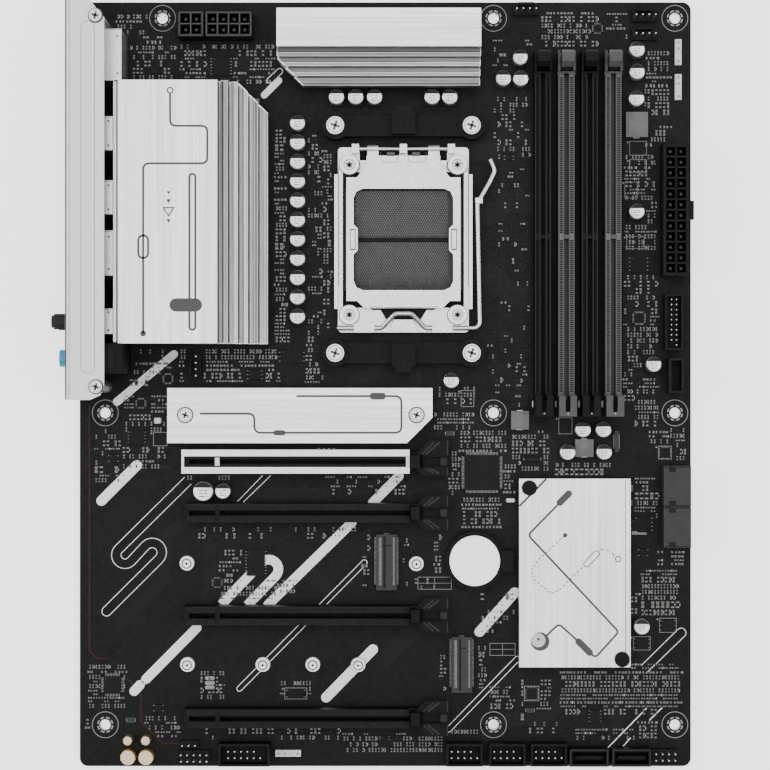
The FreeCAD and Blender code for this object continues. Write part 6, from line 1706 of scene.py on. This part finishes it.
ZONES = [
    (226.4, 18.6, 235.4, 58, 0.8), (184, 3, 206.8, 17.4, 0.8), (210.5, 3.4, 218.7, 10.4, 0.7),
    (151.7, 170.1, 170.5, 178.6, 0.9), (169.3, 183.5, 174.7, 195.2, 0.9),
    (146.9, 178.3, 151.3, 195.4, 0.9), (138.6, 162.8, 157.1, 170.1, 0.8),
    (152.8, 196.8, 167.7, 210.2, 0.9), (141.6, 211.5, 144.9, 227.5, 0.8),
    (172.3, 170, 187, 186.7, 0.8), (189.7, 182.9, 211.6, 188.8, 0.9),
    (219.6, 188.8, 231, 205.3, 0.8), (221.2, 157.8, 230.8, 168.5, 0.8),
    (227.6, 170.1, 235.5, 176, 0.8), (3.5, 263.5, 18.2, 282.2, 0.8), (16, 282.7, 23, 289.7, 0.8),
    (105, 290.7, 145.6, 297.7, 0.75), (176, 269.4, 188.3, 281.2, 0.8),
    (163.7, 272.1, 172.8, 281.2, 0.8), (223, 286, 232.1, 292.9, 0.8), (192, 266, 239.6, 282, 0.9),
    (224, 225.6, 239.6, 244.4, 0.9), (14.8, 4, 38.6, 33, 0.55), (40, 16, 78, 33.6, 0.6),
    (165, 14, 181, 60, 0.35), (78, 50, 83.6, 134, 0.8), (90.8, 52, 96.4, 138, 0.55),
    (97, 58, 101.4, 132, 0.7), (163, 60, 180, 152, 0.1), (217.6, 12, 227, 44, 0.8),
    (217.6, 60, 230.8, 102, 0.6), (217, 108, 231, 157, 0.55), (40, 137.6, 80, 152, 0.8),
    (90, 137.6, 97, 152, 0.7), (20, 137.6, 38, 152, 0.5), (143, 152.6, 158, 162, 0.8),
    (166, 143, 180.6, 160, 0.25), (18, 156, 34, 170, 0.8), (17, 176.6, 34, 186, 0.7),
    (6, 168, 18, 190, 0.3), (171, 170, 184, 182, 0.6), (176, 283, 196, 292, 0.35),
    (56, 232, 78, 238.8, 0.7), (56, 217.6, 65, 231, 0.8), (74.6, 229.6, 86, 236, 0.8),
    (113, 208.6, 117.6, 232, 0.5), (127.4, 213, 131, 232, 0.5), (143.6, 256, 147.6, 274, 0.5),
    (157.4, 256, 162, 274, 0.6), (48, 266, 58, 278, 0.5), (80, 270, 92, 280.4, 0.6),
    (26, 284, 40, 293, 0.5), (2.5, 282.8, 15, 290, 0.7), (50, 288.8, 104, 293.6, 0.6),
    (143, 289.4, 160, 293.6, 0.8), (198, 289, 222, 295.6, 0.5), (42.6, 188, 60, 190.8, 0.8),
    (96, 188.2, 130, 198.4, 0.35), (44, 176.6, 130, 178, 0.7), (219.8, 232, 224, 262, 0.6),
    (220.4, 263, 239, 266, 0.5), (231, 218, 241, 224.6, 0.7), (231.6, 169, 241.6, 183.6, 0.5),
    (45.6, 208.6, 112, 212.4, 0.25), (132, 229, 144, 238, 0.4), (160, 235, 174, 252, 0.25),
    (199, 153, 240, 157.4, 0.4),
]


def fill_zone(pile, bare, ticks, ground, rng, zone):
    """Rows of small parts in one zone; its last number is the share of places filled."""
    low_a, low_d, high_a, high_d, share = zone
    down = low_d + 0.6
    while down < high_d:
        across = low_a + 0.6
        upright = rng.random() < UPRIGHT_SHARE
        size = rng.choices(("tiny", "small", "medium"), (0.62, 0.32, 0.06))[0]
        length, width, _ = SIZES[size]
        wide = width + 0.75 if upright else length + 1.15
        deep = length + 1.15 if upright else width + 0.75
        row = down + deep / 2
        while across < high_a:
            if rng.random() < share:
                roll = rng.random()
                kind = TAN if roll < 0.42 else DARK if roll < 0.72 else None
                if passive(pile, ground, across, row, size, upright, kind):
                    if rng.random() < TICK_SHARE:
                        ticks.box(across + wide / 2 - 0.1, row, 0.0, 0.14, 0.9, INK)
            elif rng.random() < 0.5:
                bare.disc(across, row, 0.0, 0.28, 0.035, sides=8)
            across += wide
        down += deep + 0.15


def make_small_parts(ground):
    """Chip resistors and capacitors zone by zone, then vias wherever the board is free."""
    rng = random.Random(SEED)
    parts = Pile(LAND_TIN, CERAMIC_DIM, HEADER)
    vias = Pile(VIA)
    ticks = Pile(SILK)
    for zone in ZONES:
        fill_zone(parts, vias, ticks, ground, rng, zone)
    for _ in range(VIA_TRIES):
        across = rng.uniform(4, BOARD_ACROSS - 4)
        down = rng.uniform(4, BOARD_DOWN - 4)
        if ground.free(*around(across, down, 0.5, 0.5)):
            vias.ring(across, down, 0.0, 0.3, 0.14, 0.03, sides=8)
    parts.make("chip_resistors_and_capacitors")
    vias.make("vias")
    ticks.make("printed_ticks")


LAND_TIN = metal("land_tin", grey(0.1, 0.01), grey(0.22, 0.01), (0.35, 0.55), scale=2.0)
CERAMIC_DIM = moulded(
    "ceramic_body", (0.075, 0.064, 0.052), (0.13, 0.11, 0.09), (0.45, 0.6), 5.0,
)
VIA = metal("tented_via", 0.02, 0.035, (0.4, 0.55), scale=3.0)

ground = survey()
make_small_chips(ground)
make_special_parts(ground)
make_small_parts(ground)


# ----------------------------------------
# Studio
# ----------------------------------------

WHITE_LIGHT = (1.0, 1.0, 1.0, 1.0)
FLOOR_REACH = 6.0
CAMERA_HEIGHT = 1.05
CAMERA_ACROSS = 121.8
CAMERA_DOWN = 152.7
FRAME_WIDTH = 0.3073


def make_camera():
    """Straight above the middle of the board, looking down."""
    data = bpy.data.cameras.new("camera")
    data.sensor_width = 36.0
    data.lens = data.sensor_width * CAMERA_HEIGHT / FRAME_WIDTH
    data.clip_end = 20.0
    camera = bpy.data.objects.new("camera", data)
    bpy.context.scene.collection.objects.link(camera)
    camera.location = at(CAMERA_ACROSS, CAMERA_DOWN, CAMERA_HEIGHT / MM)
    bpy.context.scene.camera = camera


def make_softbox(name, place, target, size, watts):
    """Square area lamp that faces a target."""
    data = bpy.data.lights.new(name, "AREA")
    data.shape = "SQUARE"
    data.size = size
    data.energy = watts
    lamp = bpy.data.objects.new(name, data)
    bpy.context.scene.collection.objects.link(lamp)
    lamp.location = place
    lamp.rotation_mode = "QUATERNION"
    lamp.rotation_quaternion = (target - lamp.location).to_track_quat("-Z", "Y")


def make_lights():
    """Three softboxes and an even sky."""
    middle = at(BOARD_ACROSS / 2, BOARD_DOWN / 2)
    make_softbox("overhead", middle + Vector((0.0, 0.25, 1.7)), middle, 1.6, 18.0)
    make_softbox("left_side", middle + Vector((-1.1, 0.1, 0.8)), middle, 0.7, 7.0)
    make_softbox("right_side", middle + Vector((1.2, -0.3, 0.7)), middle, 0.7, 5.0)
    world = bpy.data.worlds.new("studio")
    world.use_nodes = True
    sky = world.node_tree.nodes["Background"]
    sky.inputs["Color"].default_value = WHITE_LIGHT
    sky.inputs["Strength"].default_value = 0.6
    bpy.context.scene.world = world


def make_floor():
    """Bright plain floor just under the lowest part."""
    recipe = Recipe("floor", roughness=0.8, Emission_Color=WHITE_LIGHT, Emission_Strength=1.6)
    recipe.colour(recipe.noise(0.004, detail=2.0), 0.88, 0.9)
    mesh = bpy.data.meshes.new("floor")
    low, _ = cad_box
    height = low.z - 0.1 * MM
    corners = rectangle(0.0, 0.0, 2 * FLOOR_REACH, 2 * FLOOR_REACH)
    mesh.from_pydata([(x, y, height) for x, y in corners], [], [(0, 1, 2, 3)])
    mesh.materials.append(recipe.material)
    floor = bpy.data.objects.new("floor", mesh)
    bpy.context.scene.collection.objects.link(floor)


make_camera()
make_lights()
make_floor()
